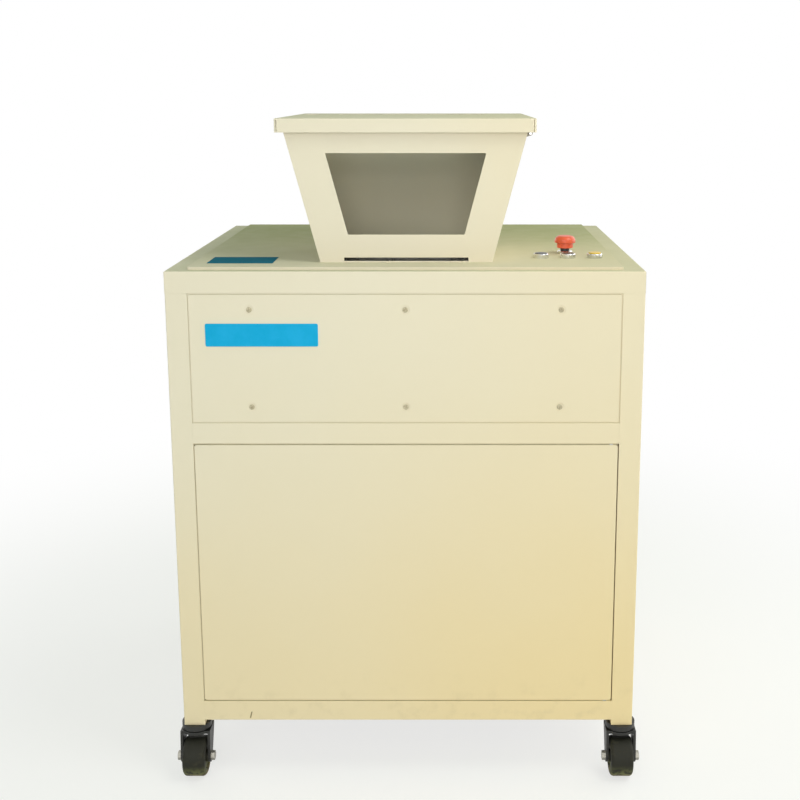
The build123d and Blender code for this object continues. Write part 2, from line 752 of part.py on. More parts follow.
with BuildPart() as door_catch:
    with BuildSketch(door_inside.offset(-CATCH_GAP)):
        with Locations((-inner_x + CATCH_WIDTH / 2, door_middle)):
            Rectangle(CATCH_WIDTH, CATCH_HEIGHT)
    extrude(amount=-CATCH_DEPTH)
    fillet(door_catch.edges().filter_by(Axis.Y).sort_by(Axis.X)[-2:], CATCH_CORNER)
save(door_catch, "door_catch")


# Switches: bezels clamp the plate, caps slide in them, contact blocks hang underneath

sleeve_bottom = plate_top - SLEEVE_LENGTH


def bezel_form(flange_radius, flange_height, cap_pocket):
    """A bezel on its own axis, zero at the plate's top face."""
    with BuildPart() as bezel:
        with BuildSketch():
            Circle(flange_radius)
        extrude(amount=flange_height)
        chamfer(bezel.faces().sort_by(Axis.Z)[-1].edges(), BEZEL_CHAMFER)
        with BuildSketch():
            Circle(SLEEVE_RADIUS)
        extrude(amount=-SLEEVE_LENGTH)
        with BuildSketch(Plane.XY.offset(flange_height)):
            Circle(SLEEVE_BORE_RADIUS)
        extrude(amount=-(flange_height + SLEEVE_LENGTH), mode=Mode.SUBTRACT)
        if cap_pocket:
            with BuildSketch(Plane.XY.offset(flange_height)):
                Circle(CAP_RADIUS + SLIDING_CLEARANCE)
            extrude(amount=-cap_pocket, mode=Mode.SUBTRACT)
    return bezel.part


button_bezel = bezel_form(BEZEL_RADIUS, BEZEL_HEIGHT, CAP_THICKNESS + BUTTON_TRAVEL)
estop_bezel = bezel_form(BEZEL_RADIUS, ESTOP_BASE_HEIGHT, 0)

with BuildPart() as button_bezels:
    with Locations(Plane.XY.offset(plate_top).location):
        with Locations(*switch_places):
            add(button_bezel)
save(button_bezels, "button_bezels")

with BuildPart() as estop_base:
    with Locations(Plane.XY.offset(plate_top).location):
        with Locations(estop_place):
            add(estop_bezel)
save(estop_base, "estop_base")

plunger_radius = SLEEVE_BORE_RADIUS - SLIDING_CLEARANCE
for name, place, rise in (
    ("start_button", switch_places[0], FLAT_CAP_RISE),
    ("reverse_button", switch_places[1], FLAT_CAP_RISE),
    ("stop_button", switch_places[2], TALL_CAP_RISE),
):
    cap_top = plate_top + BEZEL_HEIGHT + rise
    with BuildPart() as button:
        with BuildSketch(Plane.XY.offset(cap_top)):
            with Locations(place):
                Circle(CAP_RADIUS)
        extrude(amount=-(CAP_THICKNESS + rise))
        fillet(button.faces().sort_by(Axis.Z)[-1].edges(), CAP_EDGE)
        with BuildSketch(Plane.XY.offset(cap_top - CAP_THICKNESS)):
            with Locations(place):
                Circle(plunger_radius)
        extrude(amount=-(cap_top - CAP_THICKNESS - sleeve_bottom - BUTTON_TRAVEL))
    save(button, name)

stem_top = plate_top + ESTOP_STEM_RISE
head_bottom = stem_top - ESTOP_NECK_HEIGHT
head_place = Plane(origin=(*estop_place, head_bottom), x_dir=(1, 0, 0), z_dir=(0, 0, 1))

with BuildPart() as estop_stem:
    with BuildSketch(Plane.XY.offset(stem_top)):
        with Locations(estop_place):
            Circle(plunger_radius)
    extrude(amount=-(stem_top - sleeve_bottom - ESTOP_TRAVEL))
save(estop_stem, "estop_stem")

head_profile = Plane(origin=(*estop_place, head_bottom), x_dir=(1, 0, 0), z_dir=(0, -1, 0))
dome_shoulder = ESTOP_NECK_HEIGHT + ESTOP_HEAD_HEIGHT / 3
head_height = ESTOP_NECK_HEIGHT + ESTOP_HEAD_HEIGHT

with BuildPart() as estop_head:
    with BuildSketch(head_profile):
        with BuildLine():
            Polyline(
                (0, ESTOP_NECK_HEIGHT),
                (plunger_radius + RUNNING_CLEARANCE, ESTOP_NECK_HEIGHT),
                (plunger_radius + RUNNING_CLEARANCE, 0),
                (ESTOP_NECK_RADIUS, 0),
                (ESTOP_NECK_RADIUS, ESTOP_NECK_HEIGHT - BEZEL_CHAMFER),
                (ESTOP_HEAD_RADIUS, ESTOP_NECK_HEIGHT),
                (ESTOP_HEAD_RADIUS, dome_shoulder),
            )
            dome_edge = (ESTOP_HEAD_RADIUS / 2, head_height)
            TangentArc(dome_edge, (ESTOP_HEAD_RADIUS, dome_shoulder), tangent=(1, 0))
            Line(dome_edge, (0, head_height))
            Line((0, head_height), (0, ESTOP_NECK_HEIGHT))
        make_face()
    revolve(axis=Axis(head_place.origin, head_place.z_dir))
save(estop_head, "estop_head")

with BuildPart() as contact_blocks:
    with BuildSketch(Plane.XY.offset(sleeve_bottom)):
        with Locations(*switch_places, estop_place):
            RectangleRounded(CONTACT_BLOCK_SIZE, CONTACT_BLOCK_SIZE, CONTACT_BLOCK_CORNER)
    extrude(amount=-CONTACT_BLOCK_HEIGHT)
save(contact_blocks, "contact_blocks")


# Cutter block under the throat: side plates, two interleaved rollers, combs, bearings and gears

shaft_z = plate_top - SHAFT_HEIGHT_BELOW_PLATE
front_shaft_y = hopper_foot_y - SHAFT_SPACING / 2
rear_shaft_y = hopper_foot_y + SHAFT_SPACING / 2
bearing_end = plate_outside + BEARING_LENGTH
side_plate_top = plate_under - SIDE_PLATE_TOP_GAP
bearer_x = plate_inside + SIDE_PLATE_THICKNESS / 2
gearbox_near = bearing_end + GEAR_END_GAP
gearbox_x = gearbox_near + GEARBOX_WIDTH / 2
gear_far = -(bearing_end + GEAR_END_GAP + GEAR_WIDTH)
knife_width = KNIFE_PITCH - 2 * KNIFE_CLEARANCE
bar_inner = SHAFT_SPACING / 2 + KNIFE_RADIUS + COMB_GAP
bar_outer = bar_inner + COMB_BAR
tie_places = [
    (hopper_foot_y + side * bar_inner, shaft_z - drop)
    for side in (-1, 1)
    for drop in (KNIFE_RADIUS + TIE_NUT_RADIUS, LOW_TIE_DROP)
]
slot_middles = [(index + 0.5) * KNIFE_PITCH - knife_length / 2 for index in range(KNIFE_SLOTS)]

with BuildPart() as deck_bearers:
    for x in (-bearer_x, bearer_x, gearbox_x):
        add(tube_run((x, 0, door_top + TUBE / 2), (0, 1, 0), 2 * inner_y))
save(deck_bearers, "deck_bearers")

with BuildPart() as cutter_side_plates:
    for side in (-1, 1):
        with BuildSketch(Plane.YZ.offset(side * (plate_inside + plate_outside) / 2)):
            with Locations((hopper_foot_y, (service_bottom + side_plate_top) / 2)):
                Rectangle(2 * SIDE_PLATE_HALF_DEPTH, side_plate_top - service_bottom)
            with Locations((hopper_foot_y, service_bottom)):
                Circle(SIDE_PLATE_HALF_DEPTH / 2, mode=Mode.SUBTRACT)
            with Locations((front_shaft_y, shaft_z), (rear_shaft_y, shaft_z)):
                Circle(BEARING_BOSS_RADIUS - BEARING_FLANGE, mode=Mode.SUBTRACT)
            with Locations(*tie_places):
                Circle(TIE_ROD_RADIUS + RUNNING_CLEARANCE, mode=Mode.SUBTRACT)
        extrude(amount=SIDE_PLATE_THICKNESS / 2, both=True)
save(cutter_side_plates, "cutter_side_plates")

with BuildPart() as cutter_tie_rods:
    with BuildSketch(Plane.YZ):
        with Locations(*tie_places):
            Circle(TIE_ROD_RADIUS)
    extrude(amount=plate_outside + TIE_NUT_LENGTH, both=True)
    for side in (-1, 1):
        with BuildSketch(Plane.YZ.offset(side * (plate_outside + TIE_NUT_LENGTH / 2))):
            with Locations(*tie_places):
                RegularPolygon(TIE_NUT_RADIUS, 6)
        extrude(amount=TIE_NUT_LENGTH / 2, both=True)
save(cutter_tie_rods, "cutter_tie_rods")

with BuildPart() as bearing_housings:
    for side in (-1, 1):
        for length, radius in ((BEARING_FLANGE, BEARING_RADIUS), (BEARING_LENGTH, BEARING_BOSS_RADIUS)):
            with BuildSketch(Plane.YZ.offset(side * plate_outside)):
                with Locations((front_shaft_y, shaft_z), (rear_shaft_y, shaft_z)):
                    Circle(radius)
                    Circle(SHAFT_RADIUS + RUNNING_CLEARANCE, mode=Mode.SUBTRACT)
            extrude(amount=side * length)
save(bearing_housings, "bearing_housings")


def knife_outline(plane, place, turn):
    """One hooked knife disc: steep cutting faces and long straight backs."""
    step = 360 / KNIFE_TEETH
    points = []
    for tooth in range(KNIFE_TEETH):
        for radius, angle in (
            (KNIFE_RADIUS, 0),
            (KNIFE_ROOT_RADIUS, KNIFE_HOOK_ANGLE),
            ((KNIFE_RADIUS + KNIFE_ROOT_RADIUS) / 2, step * KNIFE_BACK_SHARE),
        ):
            bearing = radians(turn + tooth * step + angle)
            points.append((place[0] + radius * cos(bearing), place[1] + radius * sin(bearing)))
    with BuildSketch(plane) as outline:
        with BuildLine():
            Polyline(*points, close=True)
        make_face()
    return outline.sketch


rear_shaft_end = gearbox_near + GEARBOX_WIDTH + GEAR_END_GAP
front_shaft_end = bearing_end + GEAR_END_GAP

for name, shaft_y, first, shaft_end, lead in (
    ("front_cutter_roller", front_shaft_y, 0, front_shaft_end, 1),
    ("rear_cutter_roller", rear_shaft_y, 1, rear_shaft_end, -1),
):
    with BuildPart() as roller:
        with BuildSketch(Plane.YZ.offset(gear_far)):
            with Locations((shaft_y, shaft_z)):
                Circle(SHAFT_RADIUS)
        extrude(amount=shaft_end - gear_far)
        with BuildSketch(Plane.YZ):
            with Locations((shaft_y, shaft_z)):
                Circle(CORE_RADIUS)
        extrude(amount=plate_inside - CORE_END_GAP, both=True)
        for index in range(first, KNIFE_SLOTS, 2):
            turn = lead * index * 360 / KNIFE_TEETH / KNIFE_SLOTS
            knife = knife_outline(Plane.YZ.offset(slot_middles[index]), (shaft_y, shaft_z), turn)
            extrude(knife, amount=knife_width / 2, both=True)
    save(roller, name)

for name, shaft_y, side, first in (
    ("front_comb", front_shaft_y, -1, 1),
    ("rear_comb", rear_shaft_y, 1, 0),
):
    bar_y = hopper_foot_y + side * (bar_inner + bar_outer) / 2
    finger_root = hopper_foot_y + side * bar_inner
    finger_reach = abs(finger_root - shaft_y)
    with BuildPart() as comb:
        with BuildSketch(Plane.YZ):
            with Locations((bar_y, (side_plate_top + shaft_z - COMB_HEIGHT_BELOW_SHAFT) / 2)):
                Rectangle(COMB_BAR, side_plate_top - shaft_z + COMB_HEIGHT_BELOW_SHAFT)
        extrude(amount=plate_inside, both=True)
        for index in range(first, KNIFE_SLOTS, 2):
            with BuildSketch(Plane.YZ.offset(slot_middles[index])):
                with Locations((finger_root - side * finger_reach / 2, shaft_z)):
                    Rectangle(finger_reach, 2 * FINGER_HALF_HEIGHT)
                with Locations((shaft_y, shaft_z)):
                    Circle(CORE_RADIUS + COMB_GAP, mode=Mode.SUBTRACT)
            extrude(amount=knife_width / 2 - KNIFE_CLEARANCE, both=True)
    save(comb, name)


def gear_outline(plane, turn):
    """A spur gear's outline, its flanks drawn as arcs through root, pitch and tip."""
    pitch_radius = GEAR_MODULE * GEAR_TEETH / 2
    tip_radius = pitch_radius + GEAR_MODULE
    root_radius = pitch_radius - GEAR_DEDENDUM_SHARE * GEAR_MODULE
    step = 2 * pi / GEAR_TEETH
    pitch_half = step / 4 - GEAR_BACKLASH / pitch_radius / 2
    tip_half = pitch_half * GEAR_TIP_SHARE
    root_half = pitch_half * GEAR_ROOT_SHARE

    def spot(radius, angle):
        return (radius * cos(angle), radius * sin(angle))

    with BuildSketch(plane) as outline:
        with BuildLine():
            for tooth in range(GEAR_TEETH):
                middle = radians(turn) + tooth * step
                rising = ThreePointArc(
                    spot(root_radius, middle - root_half),
                    spot(pitch_radius, middle - pitch_half),
                    spot(tip_radius, middle - tip_half),
                )
                falling = ThreePointArc(
                    spot(tip_radius, middle + tip_half),
                    spot(pitch_radius, middle + pitch_half),
                    spot(root_radius, middle + root_half),
                )
                Line(rising @ 1, falling @ 0)
                Line(falling @ 1, spot(root_radius, middle + step - root_half))
        make_face()
        Circle(SHAFT_RADIUS + GEAR_SEAT_CLEARANCE, mode=Mode.SUBTRACT)
    return outline.sketch


for name, shaft_y, turn in (
    ("front_sync_gear", front_shaft_y, 0),
    ("rear_sync_gear", rear_shaft_y, 180 / GEAR_TEETH),
):
    with BuildPart() as gear:
        gear_plane = Plane(origin=(gear_far, shaft_y, shaft_z), x_dir=(0, 1, 0), z_dir=(1, 0, 0))
        extrude(gear_outline(gear_plane, turn), amount=GEAR_WIDTH)
    save(gear, name)


# Drive: a worm gearbox on the rear shaft, with its motor lying towards the back of the cabinet

worm_z = shaft_z - WORM_DROP
gearbox_plane = Plane.YZ.offset(gearbox_x)
motor_front = rear_shaft_y + WORM_BOSS_LENGTH
motor_axis_plane = Plane(origin=(gearbox_x, motor_front, worm_z), x_dir=(1, 0, 0), z_dir=(0, 1, 0))
gearbox_bottom = worm_z - WORM_BOSS_RADIUS
gearbox_height = shaft_z + GEARBOX_TOP - gearbox_bottom

with BuildPart() as gearbox:
    with BuildSketch(gearbox_plane):
        with Locations((rear_shaft_y, gearbox_bottom + gearbox_height / 2)):
            RectangleRounded(2 * GEARBOX_HALF_DEPTH, gearbox_height, GEARBOX_TOP / 2)
    extrude(amount=GEARBOX_BODY_WIDTH / 2, both=True)
    with BuildSketch(gearbox_plane):
        with Locations((rear_shaft_y, shaft_z)):
            Circle(BEARING_BOSS_RADIUS + MOTOR_FIN_HEIGHT)
    extrude(amount=GEARBOX_WIDTH / 2, both=True)
    with BuildSketch(motor_axis_plane):
        Circle(WORM_BOSS_RADIUS)
    extrude(amount=-WORM_BOSS_LENGTH)
    with BuildSketch(Plane.XY.offset(service_bottom)):
        with Locations((gearbox_x, rear_shaft_y)):
            RectangleRounded(GEARBOX_FOOT_WIDTH, 2 * GEARBOX_HALF_DEPTH, GEARBOX_FOOT)
    extrude(amount=GEARBOX_FOOT)
    with BuildSketch(Plane.XY.offset(service_bottom)):
        with Locations((gearbox_x, rear_shaft_y)):
            Rectangle(PEDESTAL_WIDTH, PEDESTAL_DEPTH)
    extrude(amount=gearbox_bottom + GEARBOX_FOOT - service_bottom)
    with BuildSketch(gearbox_plane):
        with Locations((rear_shaft_y, shaft_z)):
            Circle(SHAFT_RADIUS + RUNNING_CLEARANCE)
    extrude(amount=GEARBOX_WIDTH / 2, both=True, mode=Mode.SUBTRACT)
save(gearbox, "gearbox")

motor_body_end = MOTOR_FLANGE + MOTOR_LENGTH

with BuildPart() as motor:
    with BuildSketch(motor_axis_plane):
        Circle(MOTOR_FLANGE_RADIUS)
    extrude(amount=MOTOR_FLANGE)
    with BuildSketch(motor_axis_plane):
        Circle(MOTOR_RADIUS)
    extrude(amount=motor_body_end)
    with BuildSketch(motor_axis_plane.offset(MOTOR_FLANGE)):
        with PolarLocations(MOTOR_RADIUS, MOTOR_FINS):
            Rectangle(2 * MOTOR_FIN_HEIGHT, MOTOR_FIN_THICKNESS)
    extrude(amount=MOTOR_LENGTH)
    with BuildSketch(motor_axis_plane.offset(motor_body_end)):
        Circle(MOTOR_RADIUS + MOTOR_FIN_HEIGHT)
    extrude(amount=FAN_COVER_LENGTH)
    fillet(motor.faces().sort_by(Axis.Y)[-1].edges(), MOTOR_FIN_HEIGHT)
    with BuildSketch(Plane.XY.offset(worm_z)):
        with Locations((gearbox_x, motor_front + motor_body_end / 2)):
            RectangleRounded(MOTOR_BOX_SIZE, MOTOR_BOX_SIZE, MOTOR_FIN_HEIGHT)
    extrude(amount=MOTOR_RADIUS + MOTOR_BOX_SIZE / 2)
save(motor, "motor")

with BuildPart() as deck_plate:
    with BuildSketch(Plane.XY.offset(service_bottom)):
        with Locations((0, (DECK_FRONT + inner_y) / 2)):
            Rectangle(2 * DECK_HALF_WIDTH, inner_y - DECK_FRONT)
    extrude(amount=SHEET)
save(deck_plate, "deck_plate")

deck_top = service_bottom + SHEET
cradle_plane = motor_axis_plane.offset(MOTOR_FLANGE + MOTOR_LENGTH / 2)

with BuildPart() as motor_cradle:
    with BuildSketch(Plane.XY.offset(deck_top)):
        with Locations((gearbox_x, motor_front + MOTOR_FLANGE + MOTOR_LENGTH / 2)):
            Rectangle(CRADLE_WIDTH, CRADLE_LENGTH)
    extrude(amount=worm_z - MOTOR_RADIUS / 2 - deck_top)
    with BuildSketch(cradle_plane):
        Circle(MOTOR_RADIUS + MOTOR_FIN_HEIGHT + RUNNING_CLEARANCE)
    extrude(amount=CRADLE_LENGTH, both=True, mode=Mode.SUBTRACT)
save(motor_cradle, "motor_cradle")

with BuildPart() as control_box:
    with BuildSketch(Plane.XY.offset(deck_top)):
        with Locations((-bearer_x - TUBE, inner_y - CONTROL_BOX_DEPTH)):
            RectangleRounded(CONTROL_BOX_WIDTH, CONTROL_BOX_DEPTH, TUBE_CORNER)
    extrude(amount=CONTROL_BOX_HEIGHT)
save(control_box, "control_box")


# Waste bin on the floor pan, and the cable gland in the rear panel

bin_bottom = door_bottom + SHEET


def bin_form(inset, rise):
    """The bin's tapered form, with every wall moved inwards by the inset."""
    with BuildPart() as form:
        with BuildSketch(Plane.XY.offset(bin_bottom + rise)):
            Rectangle(BIN_WIDTH - 2 * BIN_TAPER - 2 * inset, BIN_DEPTH - 2 * BIN_TAPER - 2 * inset)
        with BuildSketch(Plane.XY.offset(bin_bottom + BIN_HEIGHT)):
            Rectangle(BIN_WIDTH - 2 * inset, BIN_DEPTH - 2 * inset)
        loft()
    return form.part


with BuildPart() as waste_bin:
    add(bin_form(0, 0))
    with BuildSketch(Plane.XY.offset(bin_bottom + BIN_HEIGHT - BIN_RIM)):
        Rectangle(BIN_WIDTH + BIN_RIM, BIN_DEPTH + BIN_RIM)
    extrude(amount=BIN_RIM)
    add(bin_form(BIN_WALL, BIN_WALL), mode=Mode.SUBTRACT)
    with BuildSketch(Plane.XZ):
        with Locations((0, bin_bottom + BIN_HEIGHT - BIN_HAND_HOLE_DROP)):
            SlotOverall(BIN_HAND_HOLE, BIN_HAND_HOLE_HEIGHT)
    extrude(amount=BIN_DEPTH / 2, both=True, mode=Mode.SUBTRACT)
save(waste_bin, "waste_bin")

gland_plane = Plane(origin=(GLAND_X, half_depth, GLAND_HEIGHT), x_dir=(1, 0, 0), z_dir=(0, 1, 0))
gland_inside = -SHEET - GLAND_LOCKNUT

with BuildPart() as cable_gland:
    with BuildSketch(gland_plane):
        RegularPolygon(GLAND_NUT_RADIUS, 6)
    extrude(amount=GLAND_NUT)
    with BuildSketch(gland_plane):
        Circle(GLAND_CAP_RADIUS)
    extrude(amount=GLAND_LENGTH)
    fillet(cable_gland.faces().sort_by(Axis.Y)[-1].edges(), GLAND_CAP_EDGE)
    with BuildSketch(gland_plane.offset(gland_inside)):
        Circle(GLAND_THREAD_RADIUS)
    extrude(amount=-gland_inside)
    with BuildSketch(gland_plane.offset(-SHEET)):
        RegularPolygon(GLAND_NUT_RADIUS, 6)
    extrude(amount=gland_inside + SHEET)
    with BuildSketch(gland_plane.offset(gland_inside)):
        Circle(GLAND_BORE_RADIUS)
    extrude(amount=GLAND_LENGTH - gland_inside, mode=Mode.SUBTRACT)
save(cable_gland, "cable_gland")


# Casters: heads plugged into the posts, swivelling forks with their axles, and wheels

flange_bottom = post_bottom - CASTER_FLANGE
crown_top = flange_bottom - SWIVEL_GAP
crown_bottom = crown_top - FORK_CROWN
kingpin_head_top = crown_bottom - SWIVEL_GAP
leg_inside = WHEEL_WIDTH / 2 + FORK_GAP
leg_outside = leg_inside + FORK_WALL
hub_half = leg_inside - HUB_SIDE_GAP
plug_side = tube_bore - 2 * PLUG_CLEARANCE

with BuildPart() as caster_head:
    with BuildSketch(Plane.XY.offset(post_bottom)):
        Rectangle(plug_side, plug_side)
    extrude(amount=PLUG_HEIGHT)
    with BuildSketch(Plane.XY.offset(post_bottom)):
        Circle(CASTER_FLANGE_RADIUS)
    extrude(amount=-CASTER_FLANGE)
    chamfer(caster_head.faces().sort_by(Axis.Z)[0].edges(), CASTER_FLANGE_EDGE)
    with BuildSketch(Plane.XY.offset(flange_bottom)):
        Circle(KINGPIN_RADIUS)
    extrude(amount=kingpin_head_top - flange_bottom)
    with BuildSketch(Plane.XY.offset(kingpin_head_top)):
        Circle(KINGPIN_HEAD_RADIUS)
    extrude(amount=-KINGPIN_HEAD)

with BuildPart() as caster_heads:
    with GridLocations(2 * post_x, 2 * post_y, 2, 2):
        add(caster_head.part)
save(caster_heads, "caster_heads")

with BuildPart() as fork_frame:
    with BuildSketch(Plane.XY.offset(crown_bottom)):
        Circle(FORK_CROWN_RADIUS)
        Rectangle(2 * leg_outside, FORK_LEG_WIDTH)
    extrude(amount=FORK_CROWN)
    for side in (-1, 1):
        with BuildSketch(Plane.YZ.offset(side * (leg_inside + leg_outside) / 2)):
            with Locations((0, (crown_top + crown_bottom) / 2)):
                Rectangle(FORK_LEG_WIDTH, FORK_CROWN)
            with Locations((CASTER_TRAIL, WHEEL_RADIUS)):
                Circle(AXLE_BOSS_RADIUS)
            make_hull()
        extrude(amount=FORK_WALL / 2, both=True)
    with BuildSketch(Plane.XY.offset(crown_bottom)):
        Circle(KINGPIN_RADIUS + RUNNING_CLEARANCE)
    extrude(amount=FORK_CROWN, mode=Mode.SUBTRACT)
    with BuildSketch(Plane.YZ):
        with Locations((CASTER_TRAIL, WHEEL_RADIUS)):
            Circle(AXLE_RADIUS + RUNNING_CLEARANCE)
    extrude(amount=leg_outside, both=True, mode=Mode.SUBTRACT)

with BuildPart() as axle:
    with BuildSketch(Plane.YZ):
        with Locations((CASTER_TRAIL, WHEEL_RADIUS)):
            Circle(AXLE_RADIUS)
    extrude(amount=leg_outside + AXLE_NUT_CLEARANCE + AXLE_NUT, both=True)
    for side in (-1, 1):
        with BuildSketch(Plane.YZ.offset(side * (leg_outside + AXLE_NUT_CLEARANCE))):
            with Locations((CASTER_TRAIL, WHEEL_RADIUS)):
                RegularPolygon(AXLE_NUT_RADIUS, 6)
        extrude(amount=side * AXLE_NUT)

wheel_axis = Axis((0, CASTER_TRAIL, WHEEL_RADIUS), (1, 0, 0))
tread_half = WHEEL_WIDTH / 2

with BuildPart() as wheel:
    with BuildSketch(Plane.XY.offset(WHEEL_RADIUS)):
        with BuildLine():
            hub_radius_y = CASTER_TRAIL + HUB_RADIUS
            bore_y = CASTER_TRAIL + AXLE_RADIUS + RUNNING_CLEARANCE
            disc_y = CASTER_TRAIL + WHEEL_DISC_RADIUS
            tread_y = CASTER_TRAIL + WHEEL_RADIUS
            Polyline(
                (-tread_half, tread_y - WHEEL_SHOULDER),
                (-tread_half, disc_y),
                (-tread_half + WHEEL_RECESS, disc_y - WHEEL_RECESS),
                (-tread_half + WHEEL_RECESS, hub_radius_y),
                (-hub_half, hub_radius_y),
                (-hub_half, bore_y),
                (hub_half, bore_y),
                (hub_half, hub_radius_y),
                (tread_half - WHEEL_RECESS, hub_radius_y),
                (tread_half - WHEEL_RECESS, disc_y - WHEEL_RECESS),
                (tread_half, disc_y),
                (tread_half, tread_y - WHEEL_SHOULDER),
            )
            flat_half = tread_half - WHEEL_SHOULDER
            shoulder_y = tread_y - WHEEL_SHOULDER
            RadiusArc((tread_half, shoulder_y), (flat_half, tread_y), -WHEEL_SHOULDER)
            Line((flat_half, tread_y), (-flat_half, tread_y))
            RadiusArc((-flat_half, tread_y), (-tread_half, shoulder_y), -WHEEL_SHOULDER)
        make_face()
    revolve(axis=wheel_axis)

for name, side_x, side_y in (
    ("front_left", -1, -1),
    ("front_right", 1, -1),
    ("rear_left", -1, 1),
    ("rear_right", 1, 1),
):
    facing = 0 if side_y > 0 else 180
    with BuildPart() as caster_fork:
        with Locations(Location((side_x * post_x, side_y * post_y, 0), (0, 0, facing))):
            add(fork_frame.part)
            add(axle.part)
    save(caster_fork, f"{name}_fork")
    with BuildPart() as caster_wheel:
        with Locations(Location((side_x * post_x, side_y * post_y, 0), (0, 0, facing))):
            add(wheel.part)
    save(caster_wheel, f"{name}_wheel")
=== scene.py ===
import math

import bmesh
import bpy
from mathutils import Matrix, Vector


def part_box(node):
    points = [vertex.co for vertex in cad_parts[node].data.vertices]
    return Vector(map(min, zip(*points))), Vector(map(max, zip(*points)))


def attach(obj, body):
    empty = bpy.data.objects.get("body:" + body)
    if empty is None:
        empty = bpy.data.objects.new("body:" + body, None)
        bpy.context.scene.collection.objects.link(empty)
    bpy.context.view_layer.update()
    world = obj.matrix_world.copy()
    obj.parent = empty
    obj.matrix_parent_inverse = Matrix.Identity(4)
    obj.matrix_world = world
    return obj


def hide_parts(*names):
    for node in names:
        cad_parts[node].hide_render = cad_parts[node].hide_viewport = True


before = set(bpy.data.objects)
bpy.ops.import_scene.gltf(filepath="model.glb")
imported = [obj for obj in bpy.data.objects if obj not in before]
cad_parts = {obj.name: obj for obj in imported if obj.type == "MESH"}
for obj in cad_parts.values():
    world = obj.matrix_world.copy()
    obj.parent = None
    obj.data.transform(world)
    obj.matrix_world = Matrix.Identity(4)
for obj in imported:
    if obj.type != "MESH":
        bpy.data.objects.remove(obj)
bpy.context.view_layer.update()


# The cabinet frame is 40 mm square steel tube, mitred, welded and ground flush.
# It is powder coated in cream: a fine orange peel, warmer and grubbier towards the floor, warmer towards
# the right as painted warm light from that side, with greenish dust where it faces up whose darker olive
# green is partly painted shade and green reflection, rubbed edges and one chip in the bottom rail.
class Tone:
    """A socket in a finish's node tree, so that a finish is written as sums and products."""

    def __init__(self, tree, socket):
        self.tree = tree
        self.socket = socket

    def node(self, kind, settings=None, sockets=None, output=0):
        made = self.tree.nodes.new(kind)
        for name, value in (settings or {}).items():
            setattr(made, name, value)
        for key, value in (sockets or {}).items():
            if isinstance(value, Tone):
                self.tree.links.new(value.socket, made.inputs[key])
            else:
                made.inputs[key].default_value = value
        return Tone(self.tree, made.outputs[output])

    def maths(self, operation, first, second):
        return self.node("ShaderNodeMath", {"operation": operation}, {0: first, 1: second})

    def __add__(self, other):
        return self.maths("ADD", self, other)

    def __sub__(self, other):
        return self.maths("SUBTRACT", self, other)

    def __rsub__(self, other):
        return self.maths("SUBTRACT", other, self)

    def __mul__(self, other):
        return self.maths("MULTIPLY", self, other)

    __radd__ = __add__
    __rmul__ = __mul__

    def size(self):
        return self.maths("ABSOLUTE", self, 0.0)

    def noise(self, scale, detail=2.0, roughness=0.5):
        sockets = {"Vector": self, "Scale": scale, "Detail": detail, "Roughness": roughness}
        return self.node("ShaderNodeTexNoise", None, sockets, "Fac")

    def stretched(self, x, y, z):
        sockets = {"Vector": self, "Scale": (x, y, z)}
        return self.node("ShaderNodeMapping", None, sockets)

    def between(self, low, high):
        sockets = {"Value": self, "From Min": low, "From Max": high}
        return self.node("ShaderNodeMapRange", {"interpolation_type": "SMOOTHSTEP"}, sockets)

    def tint(self, first, second):
        factor, from_colour, to_colour, mixed = 0, 6, 7, 2
        ends = [c if isinstance(c, Tone) else (*c, 1) for c in (first, second)]
        sockets = {factor: self, from_colour: ends[0], to_colour: ends[1]}
        return self.node("ShaderNodeMix", {"data_type": "RGBA"}, sockets, mixed)

    def part(self, axis):
        return self.node("ShaderNodeSeparateXYZ", None, {0: self}, axis)

    def bump(self, distance, strength=1.0, normal=None):
        sockets = {"Height": self, "Distance": distance, "Strength": strength}
        if normal:
            sockets["Normal"] = normal
        return self.node("ShaderNodeBump", None, sockets)

    def into(self, shader, name):
        self.tree.links.new(self.socket, shader.inputs[name])


def new_finish(name, **constants):
    finish = bpy.data.materials.new(name)
    finish.use_nodes = True
    shader = finish.node_tree.nodes["Principled BSDF"]
    for key, value in constants.items():
        shader.inputs[key.replace("_", " ")].default_value = value
    spot = Tone(finish.node_tree, None).node("ShaderNodeTexCoord", None, None, "Object")
    return finish, shader, spot


def rounded_normal(spot, radius):
    """The normal of the surface, turned over its edges as if they had this radius."""
    return spot.node("ShaderNodeBevel", {"samples": 4}, {"Radius": radius})


def edge_of(spot, rounded):
    """How near a point is to an edge: 0 on a flat face, 1 on the edge."""
    straight = spot.node("ShaderNodeNewGeometry", None, None, "Normal")
    sockets = {0: rounded, 1: straight}
    along = spot.node("ShaderNodeVectorMath", {"operation": "DOT_PRODUCT"}, sockets, "Value")
    return (1 - along).between(0.02, 0.3)


def dress(finish, *names):
    for name in names:
        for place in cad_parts[name].material_slots:
            place.material = finish


